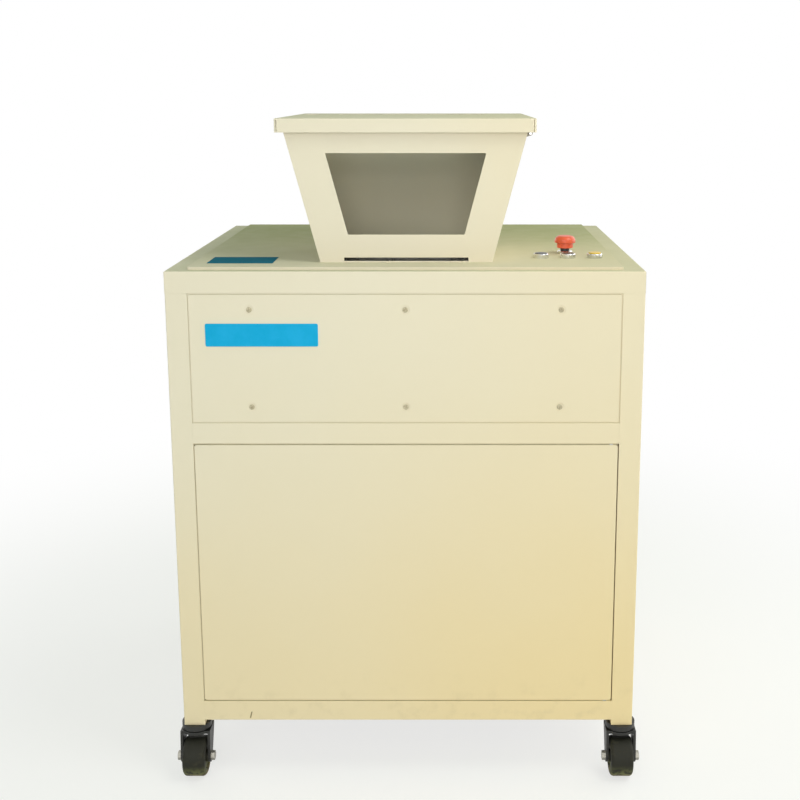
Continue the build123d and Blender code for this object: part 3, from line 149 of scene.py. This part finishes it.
def cream_finish(name, front_dust_and_shade, back_dust_and_shade, gloss):
    """The coat, with dust that thickens from the front to the back where it faces up; its darker olive
    green there is partly painted shade and green reflection.
    """
    fresh, warm = (0.785, 0.725, 0.6), (0.805, 0.65, 0.375)
    settled_dust_and_green_shade, rubbed = (0.385, 0.398, 0.2), (0.85, 0.81, 0.68)
    grime, chipped = (0.4, 0.33, 0.2), (0.22, 0.17, 0.08)
    nick_x, nick_z, nick_lean = -0.301, 0.126, 0.24
    half_width = 0.43
    finish, shader, spot = new_finish(name, Specular_IOR_Level=gloss)
    x, y, z = (spot.part(axis) for axis in range(3))
    facing = spot.node("ShaderNodeTexCoord", None, None, "Normal").part(2)
    rounded = rounded_normal(spot, 0.0007)
    edge = edge_of(spot, rounded)
    cloud = spot.noise(2.3, 3)
    mottle = spot.noise(26, 4, 0.6)
    low = 1 - z.between(0.1, 1.0)
    # Warmer towards the right: painted warm light from that side.
    painted_warm_light_side = x.between(-half_width, half_width)
    colour = (low * 0.68 + painted_warm_light_side * 0.36 + cloud * 0.35 - 0.31).tint(fresh, warm)
    # Where it faces up the coat goes olive, more so towards the back: partly dust, partly painted shade and
    # reflection of green surroundings.
    lying = facing.between(0.75, 0.98) * (mottle * 0.25 + cloud * 0.35 + 0.6)
    dust_and_shade_amount = y.between(-0.42, 0.3) * (back_dust_and_shade - front_dust_and_shade) + front_dust_and_shade
    colour = (lying * dust_and_shade_amount).tint(colour, settled_dust_and_green_shade)
    grub = (1 - z.between(0.1, 0.24)) * mottle.between(0.5, 0.75)
    colour = (grub * 0.18).tint(colour, grime)
    upright = z - nick_z
    slant = x - nick_x - upright * nick_lean
    nick = (1 - slant.size().between(0.0006, 0.0018)) * (1 - upright.size().between(0.005, 0.008))
    on_front = 1 - y.between(-0.35, -0.34)
    colour = (nick * on_front).tint(colour, chipped)
    colour = (edge * mottle.between(0.35, 0.7) * 0.55).tint(colour, rubbed)
    colour.into(shader, "Base Color")
    (0.38 + mottle * 0.14 + lying * 0.2).into(shader, "Roughness")
    peel = spot.noise(420, 2) * 0.7 + spot.noise(90, 2) * 0.3
    peel.bump(0.00025, 0.35, rounded).into(shader, "Normal")
    return finish


cream = cream_finish("cream_powder_coat", front_dust_and_shade=0.5, back_dust_and_shade=0.6, gloss=0.3)
dress(cream, "frame_posts", "long_top_rails", "side_top_rails", "middle_rails", "bottom_rails")


# The skin of the cabinet is 2 mm sheet, folded along the edges and coated with the frame.
# The panels lie flush in their openings, on strips that are welded in and coated with them.
# The floor pan under the bin is bare zinc-coated sheet.
dress(cream, "service_panel", "left_side_panel", "right_side_panel", "rear_upper_panel",
      "rear_lower_panel", "panel_strips")


def zinc_finish():
    finish, shader, spot = new_finish("spangled_zinc", Metallic=1.0)
    cells = {"Vector": spot, "Scale": 95.0, "Randomness": 1.0}
    spangle = spot.node("ShaderNodeTexVoronoi", {"feature": "F1"}, cells, "Color").part(0)
    smear = spot.noise(14, 4, 0.6)
    dull, lively = (0.46, 0.48, 0.5), (0.66, 0.67, 0.68)
    (spangle * 0.6 + smear * 0.4).tint(dull, lively).into(shader, "Base Color")
    (0.32 + spangle * 0.14 + smear * 0.12).into(shader, "Roughness")
    grain = spangle * 0.5 + spot.noise(300, 2) * 0.5
    grain.bump(0.00008, 0.4, rounded_normal(spot, 0.0006)).into(shader, "Normal")
    return finish


zinc = zinc_finish()
dress(zinc, "floor_pan")


# Pan-head machine screws, M5 with a cross recess, hold the panels to the strips. Each sits on
# the floor of a shallow pressed dimple, dulled by overspray that is chipped down to brown plate.
def islands_of(name):
    """Lowest and highest corner of each loose solid in a CAD node."""
    shell = bmesh.new()
    shell.from_mesh(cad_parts[name].data)
    bmesh.ops.remove_doubles(shell, verts=shell.verts, dist=1e-6)
    left = set(shell.verts)
    found = []
    for first in list(shell.verts):
        if first not in left:
            continue
        left.remove(first)
        stack = [first]
        group = []
        while stack:
            vert = stack.pop()
            group.append(vert.co.copy())
            for link in vert.link_edges:
                other = link.other_vert(vert)
                if other in left:
                    left.remove(other)
                    stack.append(other)
        low = Vector([min(v[k] for v in group) for k in range(3)])
        high = Vector([max(v[k] for v in group) for k in range(3)])
        found.append((low, high))
    shell.free()
    return sorted(found, key=lambda corners: tuple(round(c, 4) for c in corners[0]))


def steel_finish(name, dark, light, rough, grain):
    finish, shader, spot = new_finish(name, Metallic=1.0)
    brushed = spot.stretched(*grain).noise(1.0, 3, 0.6)
    smear = spot.noise(22, 4, 0.6)
    (brushed * 0.5 + smear * 0.5).between(0.25, 0.75).tint(dark, light).into(shader, "Base Color")
    (smear * 0.16 + (rough - 0.08)).into(shader, "Roughness")
    brushed.bump(0.00006, 0.35, rounded_normal(spot, 0.0005)).into(shader, "Normal")
    return finish


def turned_loops(shape, loops):
    """Faces between successive rings of vertices, and over both ends."""
    count = len(loops[0])
    for low, high in zip(loops, loops[1:]):
        for k in range(count):
            nxt = (k + 1) % count
            shape.faces.new((low[k], low[nxt], high[nxt], high[k]))
    shape.faces.new(list(reversed(loops[0])))
    shape.faces.new(loops[-1])


def mesh_from(shape, name):
    bmesh.ops.recalc_face_normals(shape, faces=shape.faces)
    mesh = bpy.data.meshes.new(name)
    shape.to_mesh(mesh)
    shape.free()
    return mesh


def cross_screw(radius, height, shank, length):
    """A domed screw along +Z, its head on zero, with a cross recess sunk in the crown."""
    around, arms, arm_half = 32, 4, 1.5
    recess = radius * 0.52
    waist = recess * 0.36
    recess_floor, recess_taper = height * 0.4, 0.85
    dome = ((0.3, 1), (0.6, 0.93), (0.85, 0.78), (1, 0.57))
    shape = bmesh.new()
    loops = []

    def ring(lift, reach_at):
        loop = []
        for k in range(around):
            turn = 2 * math.pi * k / around
            loop.append(shape.verts.new((reach_at(k) * math.cos(turn), reach_at(k) * math.sin(turn), lift)))
        loops.append(loop)

    def arm(k):
        away = min(abs(k - q * around / arms) for q in range(arms + 1))
        return recess if away < arm_half else waist

    ring(-length, lambda k: shank)
    ring(0, lambda k: shank)
    ring(0, lambda k: radius)
    for rise, reach in dome:
        ring(height * rise, lambda k: radius * reach)
    ring(height, arm)
    ring(recess_floor, lambda k: arm(k) * recess_taper)
    turned_loops(shape, loops)
    return mesh_from(shape, "cross_screw")


def link_new(name, mesh):
    piece = bpy.data.objects.new(name, mesh)
    bpy.context.scene.collection.objects.link(piece)
    return piece


def scatter(name, points, facings, source, finish, size):
    """Geometry Nodes put the source on every point, its +Z along that point's own facing."""
    cloud = bpy.data.meshes.new(name + "_points")
    cloud.from_pydata([tuple(p) for p in points], [], [])
    facing = cloud.attributes.new("facing", "FLOAT_VECTOR", "POINT")
    facing.data.foreach_set("vector", [c for f in facings for c in f])
    carrier = link_new(name, cloud)
    pattern = link_new(name + "_pattern", source)
    tree = bpy.data.node_groups.new(name + "_layout", "GeometryNodeTree")
    for title, way, kind in (("Places", "INPUT", "Geometry"), ("Pattern", "INPUT", "Object"),
                             ("Size", "INPUT", "Float"), ("Finish", "INPUT", "Material"),
                             ("Pieces", "OUTPUT", "Geometry")):
        tree.interface.new_socket(title, in_out=way, socket_type="NodeSocket" + kind)
    start, end = tree.nodes.new("NodeGroupInput"), tree.nodes.new("NodeGroupOutput")
    shape = tree.nodes.new("GeometryNodeObjectInfo")
    ways = tree.nodes.new("GeometryNodeInputNamedAttribute")
    ways.data_type = "FLOAT_VECTOR"
    ways.inputs["Name"].default_value = "facing"
    turn = tree.nodes.new("FunctionNodeAlignRotationToVector")
    turn.axis = "Z"
    instance = tree.nodes.new("GeometryNodeInstanceOnPoints")
    realize = tree.nodes.new("GeometryNodeRealizeInstances")
    coat = tree.nodes.new("GeometryNodeSetMaterial")
    for giver, taker in (
        (start.outputs["Places"], instance.inputs["Points"]),
        (start.outputs["Pattern"], shape.inputs["Object"]),
        (shape.outputs["Geometry"], instance.inputs["Instance"]),
        (ways.outputs["Attribute"], turn.inputs["Vector"]),
        (turn.outputs["Rotation"], instance.inputs["Rotation"]),
        (start.outputs["Size"], instance.inputs["Scale"]),
        (instance.outputs["Instances"], realize.inputs["Geometry"]),
        (realize.outputs["Geometry"], coat.inputs["Geometry"]),
        (start.outputs["Finish"], coat.inputs["Material"]),
        (coat.outputs["Geometry"], end.inputs["Pieces"]),
    ):
        tree.links.new(giver, taker)
    layout = carrier.modifiers.new("layout", "NODES")
    layout.node_group = tree
    values = {"Pattern": pattern, "Size": size, "Finish": finish}
    for item in tree.interface.items_tree:
        if item.name in values:
            layout[item.identifier] = values[item.name]
    bpy.context.view_layer.update()
    evaluated = carrier.evaluated_get(bpy.context.evaluated_depsgraph_get())
    made = bpy.data.meshes.new_from_object(evaluated)
    carrier.modifiers.remove(layout)
    carrier.data = made
    bpy.data.objects.remove(pattern)
    return carrier


def oversprayed_finish():
    finish, shader, spot = new_finish("oversprayed_screw", Specular_IOR_Level=0.35)
    chipped = spot.noise(380, 4, 0.65).between(0.38, 0.62)
    rounded = rounded_normal(spot, 0.0004)
    edge = edge_of(spot, rounded)
    overspray, plate = (0.62, 0.56, 0.42), (0.36, 0.3, 0.2)
    (chipped * 0.75 + edge * 0.25).tint(overspray, plate).into(shader, "Base Color")
    (chipped * 0.2 + 0.36).into(shader, "Roughness")
    chipped.bump(0.00006, 0.4, rounded).into(shader, "Normal")
    return finish


head_radius, head_height = 0.005, 0.0022
shank_radius, shank_length = 0.0025, 0.0088
places, ways = [], []
for low, high in islands_of("panel_screws"):
    middle, spans = (low + high) / 2, high - low
    axis = max(range(3), key=lambda k: spans[k])
    outward = Vector((0, 0, 0))
    outward[axis] = math.copysign(1, middle[axis])
    middle[axis] = (high if outward[axis] > 0 else low)[axis]
    places.append(middle - outward * head_height)
    ways.append(outward)
screw_form = cross_screw(head_radius, head_height, shank_radius, shank_length)
screws = scatter("panel_cross_screws", places, ways, screw_form, oversprayed_finish(), 1.0)
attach(screws, "cabinet")
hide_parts("panel_screws")


# The door is a folded pan with a hat rib inside, coated like the frame. It turns on two steel
# pins near its right edge and shuts on a magnetic catch; it has no handle. A pale rubber bead is
# stuck to the frame in the gap along the door's top and its shutting side.
dress(cream, "door_panel")
bright = steel_finish("bright_steel_bar", dark=(0.5, 0.5, 0.48), light=(0.72, 0.71, 0.69),
                      rough=0.28, grain=(60, 900, 900))
dress(bright, "door_pivot_pins")


def plastic_finish(name, colour, rough, grain):
    finish, shader, spot = new_finish(name)
    smear = spot.noise(35, 4, 0.6)
    rounded = rounded_normal(spot, 0.0008)
    edge = edge_of(spot, rounded)
    pale = tuple(min(1, c * 1.35 + 0.02) for c in colour)
    deep = tuple(c * 0.82 for c in colour)
    shade = smear.between(0.3, 0.7).tint(deep, colour)
    (edge * 0.25).tint(shade, pale).into(shader, "Base Color")
    (smear * 0.18 + (rough - 0.09)).into(shader, "Roughness")
    spot.noise(grain, 3, 0.6).bump(0.0001, 0.25, rounded).into(shader, "Normal")
    return finish


black_plastic = plastic_finish("black_moulding", (0.02, 0.02, 0.021), 0.36, 700)
dress(black_plastic, "door_catch")

door_low, door_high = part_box("door_panel")
door_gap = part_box("middle_rails")[0].z - door_high.z
seal_clearance, seal_set_back, seal_depth = 0.0004, 0.0012, 0.008
seal_width = door_gap - seal_clearance
seal_front = door_low.y + seal_set_back


def seal_run(shape, start, end, across):
    """A run of bead from start to end, its round nose to the front and its width along across."""
    nose_steps = 8
    outline = [(1, seal_depth), (0, seal_depth)]
    for step in range(nose_steps + 1):
        turn = math.pi * step / nose_steps
        outline.append(((1 - math.cos(turn)) / 2, seal_width / 2 * (1 - math.sin(turn))))
    loops = []
    for place in (start, end):
        loops.append([shape.verts.new(place + across * seal_width * painted_warm_light_side + Vector((0, depth, 0)))
                      for painted_warm_light_side, depth in outline])
    turned_loops(shape, loops)


seal_shape = bmesh.new()
top_corner = Vector((door_low.x - door_gap, seal_front, door_high.z + door_gap))
seal_run(seal_shape, Vector((top_corner.x, seal_front, door_low.z)), top_corner, Vector((1, 0, 0)))
seal_run(seal_shape, top_corner + Vector((seal_width, 0, 0)),
         Vector((door_high.x, seal_front, top_corner.z)), Vector((0, 0, -1)))
door_seal = link_new("door_seal_bead", mesh_from(seal_shape, "door_seal_bead"))
door_seal.data.materials.append(plastic_finish("pale_seal_rubber", (0.66, 0.58, 0.42), 0.6, 500))
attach(door_seal, "cabinet")


# The top plate is a shallow folded tray dropped on the rails, in the same cream coat.
# Dust and grease have settled on it; its olive green, darker towards the back, is partly painted shade and
# reflection of green surroundings. A plain plate with blue film is stuck on it at the left, and a longer
# one on the service panel below.
deck_cream = cream_finish("cream_deck_coat", front_dust_and_shade=0.26, back_dust_and_shade=0.98, gloss=0.06)
dress(deck_cream, "top_plate")


def rounded_plate(name, width, height, corner, thickness, place):
    """A thin plate with round corners and a softened rim, standing on its place's +Z side."""
    corner_steps = 6
    soft = thickness * 0.45
    rim = ((0, 0), (0, thickness - soft), (soft * 0.3, thickness - soft * 0.3), (soft, thickness))
    shape = bmesh.new()
    outline = []
    for quarter, (side_x, side_y) in enumerate(((1, 1), (-1, 1), (-1, -1), (1, -1))):
        for step in range(corner_steps + 1):
            turn = math.pi / 2 * (quarter + step / corner_steps)
            outline.append((side_x * (width / 2 - corner) + corner * math.cos(turn),
                            side_y * (height / 2 - corner) + corner * math.sin(turn)))
    loops = []
    for inset, lift in rim:
        narrowed, lowered = 1 - 2 * inset / width, 1 - 2 * inset / height
        loops.append([shape.verts.new((x * narrowed, y * lowered, lift)) for x, y in outline])
    turned_loops(shape, loops)
    bmesh.ops.transform(shape, matrix=place, verts=shape.verts)
    return link_new(name, mesh_from(shape, name))


def film_finish(name, colour):
    finish, shader, spot = new_finish(name, Specular_IOR_Level=0.01)
    faded = spot.noise(28, 4, 0.6).between(0.3, 0.75)
    rounded = rounded_normal(spot, 0.0012)
    edge = edge_of(spot, rounded)
    pale = tuple(min(1, c * 1.3 + 0.03) for c in colour)
    scuff = spot.stretched(40, 420, 420).noise(1.0, 2).between(0.66, 0.74)
    (faded * 0.25 + scuff * 0.15 + edge * 0.2).tint(colour, pale).into(shader, "Base Color")
    (faded * 0.15 + 0.62).into(shader, "Roughness")
    spot.noise(160, 3).bump(0.0001, 0.15, rounded).into(shader, "Normal")
    return finish


plate_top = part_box("top_plate")[1].z
deck_label_middle = Matrix.Translation((-0.3055, -0.249, plate_top))
deck_label = rounded_plate("deck_blue_plate", width=0.121, height=0.078, corner=0.002,
                           thickness=0.0006, place=deck_label_middle)
deck_label.data.materials.append(film_finish("deep_blue_film", (0.0042, 0.135, 0.22)))
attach(deck_label, "cabinet")
front_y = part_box("service_panel")[0].y
panel_label_middle = Matrix.Translation((-0.2585, front_y, 0.871))
stood_up = Matrix.Rotation(math.pi / 2, 4, "X")
panel_label = rounded_plate("panel_blue_plate", width=0.203, height=0.042, corner=0.003,
                            thickness=0.0008, place=panel_label_middle @ stood_up)
panel_label.data.materials.append(film_finish("mid_blue_film", (0.012, 0.39, 0.74)))
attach(panel_label, "cabinet")


# The funnel is four sheets, the front one upright, the sides and the long back flared, welded
# along the seams, ground off in front and coated. A clear acrylic pane backs the window.
dress(cream, "hopper_front", "hopper_back", "hopper_left_wall", "hopper_right_wall")


def acrylic_finish():
    index = 1.49
    finish, shader, spot = new_finish("clear_acrylic_sheet", IOR=index, Base_Color=(0.86, 0.9, 0.88, 1))
    scuff = spot.stretched(300, 300, 18).noise(1.0, 3, 0.7).between(0.55, 0.8)
    (scuff * 0.2 + 0.05).into(shader, "Roughness")
    glint = spot.node("ShaderNodeFresnel", None, {"IOR": index})
    clear = spot.node("ShaderNodeBsdfTransparent", None, {"Color": (0.97, 0.98, 0.97, 1)})
    outside = 1 - spot.node("ShaderNodeNewGeometry", None, None, "Backfacing")
    veil = (glint * 0.6 + scuff * 0.04 + 0.01) * outside
    solid = Tone(finish.node_tree, shader.outputs["BSDF"])
    pane = spot.node("ShaderNodeMixShader", None, {0: veil, 1: clear, 2: solid})
    pane.into(finish.node_tree.nodes["Material Output"], "Surface")
    return finish


dress(acrylic_finish(), "hopper_window")

foot_z, rim_z = plate_top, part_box("hopper_back")[1].z
foot_half, rim_half = 0.1585, 0.227
front_foot_y, back_foot_y, back_rim_y = -0.275, -0.083, 0.15
bead_pitch, bead_radius = 0.002, 0.0014
bead = bmesh.new()
bmesh.ops.create_icosphere(bead, subdivisions=1, radius=bead_radius)
bead_mesh = mesh_from(bead, "weld_bead")
seams = []
for side in (-1, 1):
    back_corner = Vector((side * foot_half, back_foot_y, foot_z))
    seams.append((back_corner, Vector((side * rim_half, back_rim_y, rim_z))))
    seams.append((Vector((side * foot_half, front_foot_y, foot_z)), back_corner))
seams.append((Vector((-foot_half, back_foot_y, foot_z)), Vector((foot_half, back_foot_y, foot_z))))
bead_places = []
for start, end in seams:
    beads = int((end - start).length / bead_pitch) - 1
    for index in range(1, beads):
        bead_places.append(start.lerp(end, index / beads))
upward = [(0, 0, 1)] * len(bead_places)
welds = scatter("funnel_seam_welds", bead_places, upward, bead_mesh, cream, 1.0)
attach(welds, "cabinet")


# The lid is a folded tray over the rim with a feed slot and a finger hole. Two steel hinges
# under its right edge carry it, each leaf held by small cross-recess screws.
dress(cream, "hopper_lid")
plated = steel_finish("dull_zinc_plate", dark=(0.2, 0.19, 0.165), light=(0.36, 0.345, 0.3),
                      rough=0.5, grain=(700, 700, 700))
dress(plated, "lid_hinge_fixed_leaves", "lid_hinge_moving_leaves")
dress(bright, "lid_hinge_pins")
lean = math.atan2(rim_half - foot_half, rim_z - foot_z)
out_of_wall = Vector((math.cos(lean), 0, -math.sin(lean)))
leaf_half, leaf_stands_out, row_lift, row_pitch = 0.025, 0.0025, 0.012, 0.016
leaf_low, leaf_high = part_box("lid_hinge_fixed_leaves")
row_z = leaf_low.z + row_lift
row_x = foot_half + math.tan(lean) * (row_z - foot_z) + leaf_stands_out
hinge_places = []
for leaf_middle in (leaf_low.y + leaf_half, leaf_high.y - leaf_half):
    for step in (-row_pitch, 0, row_pitch):
        hinge_places.append(Vector((row_x, leaf_middle + step, row_z)))
small_screw = cross_screw(radius=0.0034, height=0.0015, shank=0.0015, length=0.003)
hinge_screws = scatter("hinge_screws", hinge_places, [out_of_wall] * len(hinge_places),
                       small_screw, plated, 1.0)
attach(hinge_screws, "cabinet")


# Three push buttons sit in chromed bezels clamped through the plate: a black one, a dark one and
# a taller yellow one. Behind them the red mushroom head of the emergency stop stands on its base.
def chrome_finish():
    finish, shader, spot = new_finish("chromed_bezel", Metallic=1.0)
    smear = spot.noise(60, 4, 0.6)
    fingered, clean = (0.6, 0.6, 0.58), (0.8, 0.8, 0.78)
    smear.between(0.3, 0.7).tint(fingered, clean).into(shader, "Base Color")
    (smear * 0.14 + 0.1).into(shader, "Roughness")
    spot.noise(300, 2).bump(0.00004, 0.2, rounded_normal(spot, 0.0005)).into(shader, "Normal")
    return finish


chrome = chrome_finish()
dress(chrome, "button_bezels", "estop_base")
dress(black_plastic, "start_button", "estop_stem")
dress(plastic_finish("dark_green_cap", (0.045, 0.06, 0.04), 0.32, 700), "reverse_button")
dress(plastic_finish("yellow_cap", (0.78, 0.52, 0.045), 0.34, 700), "stop_button")
dress(plastic_finish("signal_red_head", (0.82, 0.12, 0.045), 0.36, 600), "estop_head")
dress(plastic_finish("grey_moulding", (0.3, 0.31, 0.3), 0.45, 500), "contact_blocks", "control_box")


# Under the throat is the cutter block: two hooked rollers of hardened steel, oiled and polished by
# use, between thick side plates on tie rods, with combs that strip the knives.
hardened = steel_finish("hardened_knife_steel", dark=(0.27, 0.27, 0.28), light=(0.52, 0.52, 0.52),
                        rough=0.27, grain=(30, 700, 700))
dress(hardened, "front_cutter_roller", "rear_cutter_roller", "front_sync_gear", "rear_sync_gear")
dress(bright, "front_comb", "rear_comb", "cutter_tie_rods")
rolled = steel_finish("rolled_plate", dark=(0.2, 0.2, 0.21), light=(0.38, 0.38, 0.38),
                      rough=0.45, grain=(40, 40, 500))
dress(rolled, "cutter_side_plates")


# The drive stands on a deck behind the cutters: a cast worm gearbox on the rear shaft and a finned
# motor in a cradle, on a zinc deck plate over square bearers, beside a plain control box.
def casting_finish(name, colour, rough):
    finish, shader, spot = new_finish(name)
    smear = spot.noise(16, 4, 0.6)
    pits = spot.noise(240, 3, 0.6)
    rounded = rounded_normal(spot, 0.0015)
    edge = edge_of(spot, rounded)
    deep = tuple(c * 0.7 for c in colour)
    pale = tuple(min(1, c * 1.6) for c in colour)
    shade = smear.between(0.3, 0.7).tint(deep, colour)
    (edge * 0.35).tint(shade, pale).into(shader, "Base Color")
    (smear * 0.2 + (rough - 0.1)).into(shader, "Roughness")
    pits.bump(0.0006, 0.4, rounded).into(shader, "Normal")
    return finish


cast_iron = casting_finish("grey_cast_iron", colour=(0.3, 0.31, 0.33), rough=0.55)
dress(cast_iron, "bearing_housings", "gearbox", "motor_cradle")
dress(casting_finish("motor_blue_grey", colour=(0.16, 0.21, 0.26), rough=0.42), "motor")
dress(zinc, "deck_plate")
dress(cream, "deck_bearers")


# The waste bin is a moulded tapered box with a rolled rim and hand holes, standing on the floor
# pan. A black nylon gland in the rear panel takes the supply lead.
dress(plastic_finish("bin_moulding", (0.1, 0.11, 0.125), 0.5, 260), "waste_bin")
dress(black_plastic, "cable_gland")


# Four swivel casters: pressed heads plugged into the posts, black forks with plated axle nuts,
# and hard rubber wheels brown with floor dust on their lower part only, the top left black as painted shade
# under the fork. Two pressed race rings close each swivel.
def caster_finish():
    caster_x, fork_half_width = 0.41, 0.0286
    enamel_black, floor_dust = (0.012, 0.012, 0.011), (0.12, 0.11, 0.085)
    worn, zinc_nut = (0.16, 0.16, 0.15), (0.36, 0.35, 0.31)
    finish, shader, spot = new_finish("black_caster_enamel")
    beside = (spot.part(0).size() - caster_x).size()
    nut = beside.maths("GREATER_THAN", beside, fork_half_width)
    smear = spot.noise(48, 4, 0.6)
    rounded = rounded_normal(spot, 0.001)
    edge = edge_of(spot, rounded)
    film = smear.between(0.5, 0.72) * (1 - spot.part(2).between(0.02, 0.1))
    colour = (film * 0.35).tint(enamel_black, floor_dust)
    colour = (edge * 0.25).tint(colour, worn)
    nut.tint(colour, zinc_nut).into(shader, "Base Color")
    nut.into(shader, "Metallic")
    (smear * 0.2 + nut * 0.1 + 0.34).into(shader, "Roughness")
    spot.noise(380, 2).bump(0.0002, 0.25, rounded).into(shader, "Normal")
    return finish


def rubber_finish():
    black, dusted = (0.016, 0.016, 0.011), (0.1, 0.092, 0.05)
    brown_mud, olive_mud = (0.3, 0.2, 0.11), (0.17, 0.18, 0.07)
    finish, shader, spot = new_finish("dusty_wheel_rubber", Specular_IOR_Level=0.25)
    height = spot.part(2)
    smear = spot.noise(55, 4, 0.65)
    rounded = rounded_normal(spot, 0.002)
    edge = edge_of(spot, rounded)
    colour = (smear * 0.7 + edge * 0.4).between(0.36, 0.8).tint(black, dusted)
    # Mud only below about axle height: partly mud near the floor, partly painted shade that keeps the top
    # of the wheel under the fork dark.
    low_mud_and_shaded_top = (1 - height.between(0.012, 0.04)) * spot.noise(120, 3, 0.6).between(0.3, 0.6)
    mud = height.between(0.0, 0.02).tint(brown_mud, olive_mud)
    (low_mud_and_shaded_top * 0.75).tint(colour, mud).into(shader, "Base Color")
    (smear * 0.2 + 0.55).into(shader, "Roughness")
    (spot.noise(420, 3) * 0.6 + smear * 0.4).bump(0.0004, 0.4, rounded).into(shader, "Normal")
    return finish


enamel = caster_finish()
rubber = rubber_finish()
corners = ("front_left", "front_right", "rear_left", "rear_right")
dress(enamel, "caster_heads", *(corner + "_fork" for corner in corners))
dress(rubber, *(corner + "_wheel" for corner in corners))


# The studio is a pale floor that turns into a white sweep, with broad soft lights, the key from
# front left and above. The camera stands where the photograph was taken from.
reach = 12
floor_corners = [(-reach, -reach, 0), (reach, -reach, 0), (reach, reach, 0), (-reach, reach, 0)]
floor_sheet = bpy.data.meshes.new("studio_floor")
floor_sheet.from_pydata(floor_corners, [], [(0, 1, 2, 3)])
floor = link_new("studio_floor", floor_sheet)
floor_finish, floor_shader, floor_spot = new_finish("pale_floor", Roughness=0.8,
                                                    Base_Color=(0.9, 0.9, 0.89, 1))


def seen_straight(tone):
    """1 for rays from the camera, from gloss and through clear sheet, which see plain white."""
    rays = [tone.node("ShaderNodeLightPath", None, None, kind)
            for kind in ("Is Camera Ray", "Is Glossy Ray", "Is Transmission Ray")]
    return tone.maths("MAXIMUM", tone.maths("MAXIMUM", rays[0], rays[1]), rays[2])


away = floor_spot.node("ShaderNodeVectorMath", {"operation": "LENGTH"}, {0: floor_spot}, "Value")
white = floor_spot.node("ShaderNodeEmission", None, {"Color": (1, 1, 1, 1), "Strength": 1.0})
glow = seen_straight(floor_spot) * (away.between(0.6, 2.2) * 0.36 + 0.64)
plain = Tone(floor_finish.node_tree, floor_shader.outputs["BSDF"])
sweep = floor_spot.node("ShaderNodeMixShader", None, {0: glow, 1: plain, 2: white})
sweep.into(floor_finish.node_tree.nodes["Material Output"], "Surface")
floor_sheet.materials.append(floor_finish)

air = bpy.data.worlds.new("studio_air")
bpy.context.scene.world = air
air.use_nodes = True
air_tone = Tone(air.node_tree, None)
height = air_tone.node("ShaderNodeTexCoord", None, None, "Generated").part(2)
ceiling = height.between(0.1, 0.9).tint((1, 0.98, 0.94), (0.68, 1, 0.6))
soft = air_tone.node("ShaderNodeBackground", None, {"Color": ceiling, "Strength": 0.3})
clear = air_tone.node("ShaderNodeBackground", None, {"Color": (1, 1, 1, 1), "Strength": 1.0})
around = air_tone.node("ShaderNodeMixShader", None, {0: seen_straight(air_tone), 1: soft, 2: clear})
around.into(air.node_tree.nodes["World Output"], "Surface")

lit_middle = Vector((0, 0, 0.65))
for name, place, size, power, colour in (
    ("key", (-1.5, -3.4, 2.3), 2.6, 27, (1, 1, 1)),
    ("fill", (2.4, -2.9, 1.1), 2.2, 15, (1, 0.9, 0.68)),
    ("front", (0.2, -3.7, 1.45), 1.2, 27, (1, 0.98, 0.94)),
    ("top", (1.4, -1.0, 2.9), 1.3, 28, (1, 0.99, 0.93)),
    ("side", (3.4, 0.6, 1.6), 2.2, 26, (1, 0.97, 0.92)),
    ("back", (2.6, 2.2, 2.2), 2.4, 28, (1, 0.98, 0.95)),
    ("rear", (-2.2, 2.9, 0.8), 2.2, 42, (1, 0.98, 0.94)),
):
    lamp = bpy.data.lights.new(name + "_softbox", "AREA")
    lamp.size = size
    lamp.energy = power
    lamp.color = colour
    box = bpy.data.objects.new(name + "_softbox", lamp)
    box.location = place
    box.rotation_euler = (lit_middle - Vector(place)).to_track_quat("-Z", "Y").to_euler()
    bpy.context.scene.collection.objects.link(box)

downward_tilt = 0.1852
lens = bpy.data.cameras.new("photo_camera")
lens.sensor_width = 36
lens.lens = 51.29
lens.shift_x = -0.0615
lens.shift_y = -0.12
lens.clip_end = 100
camera = bpy.data.objects.new("photo_camera", lens)
camera.location = (0.0789, -2.3545, 1.3035)
camera.rotation_euler = (math.pi / 2 - downward_tilt, 0, 0)
bpy.context.scene.collection.objects.link(camera)
bpy.context.scene.camera = camera
bpy.context.scene.view_settings.view_transform = "Standard"
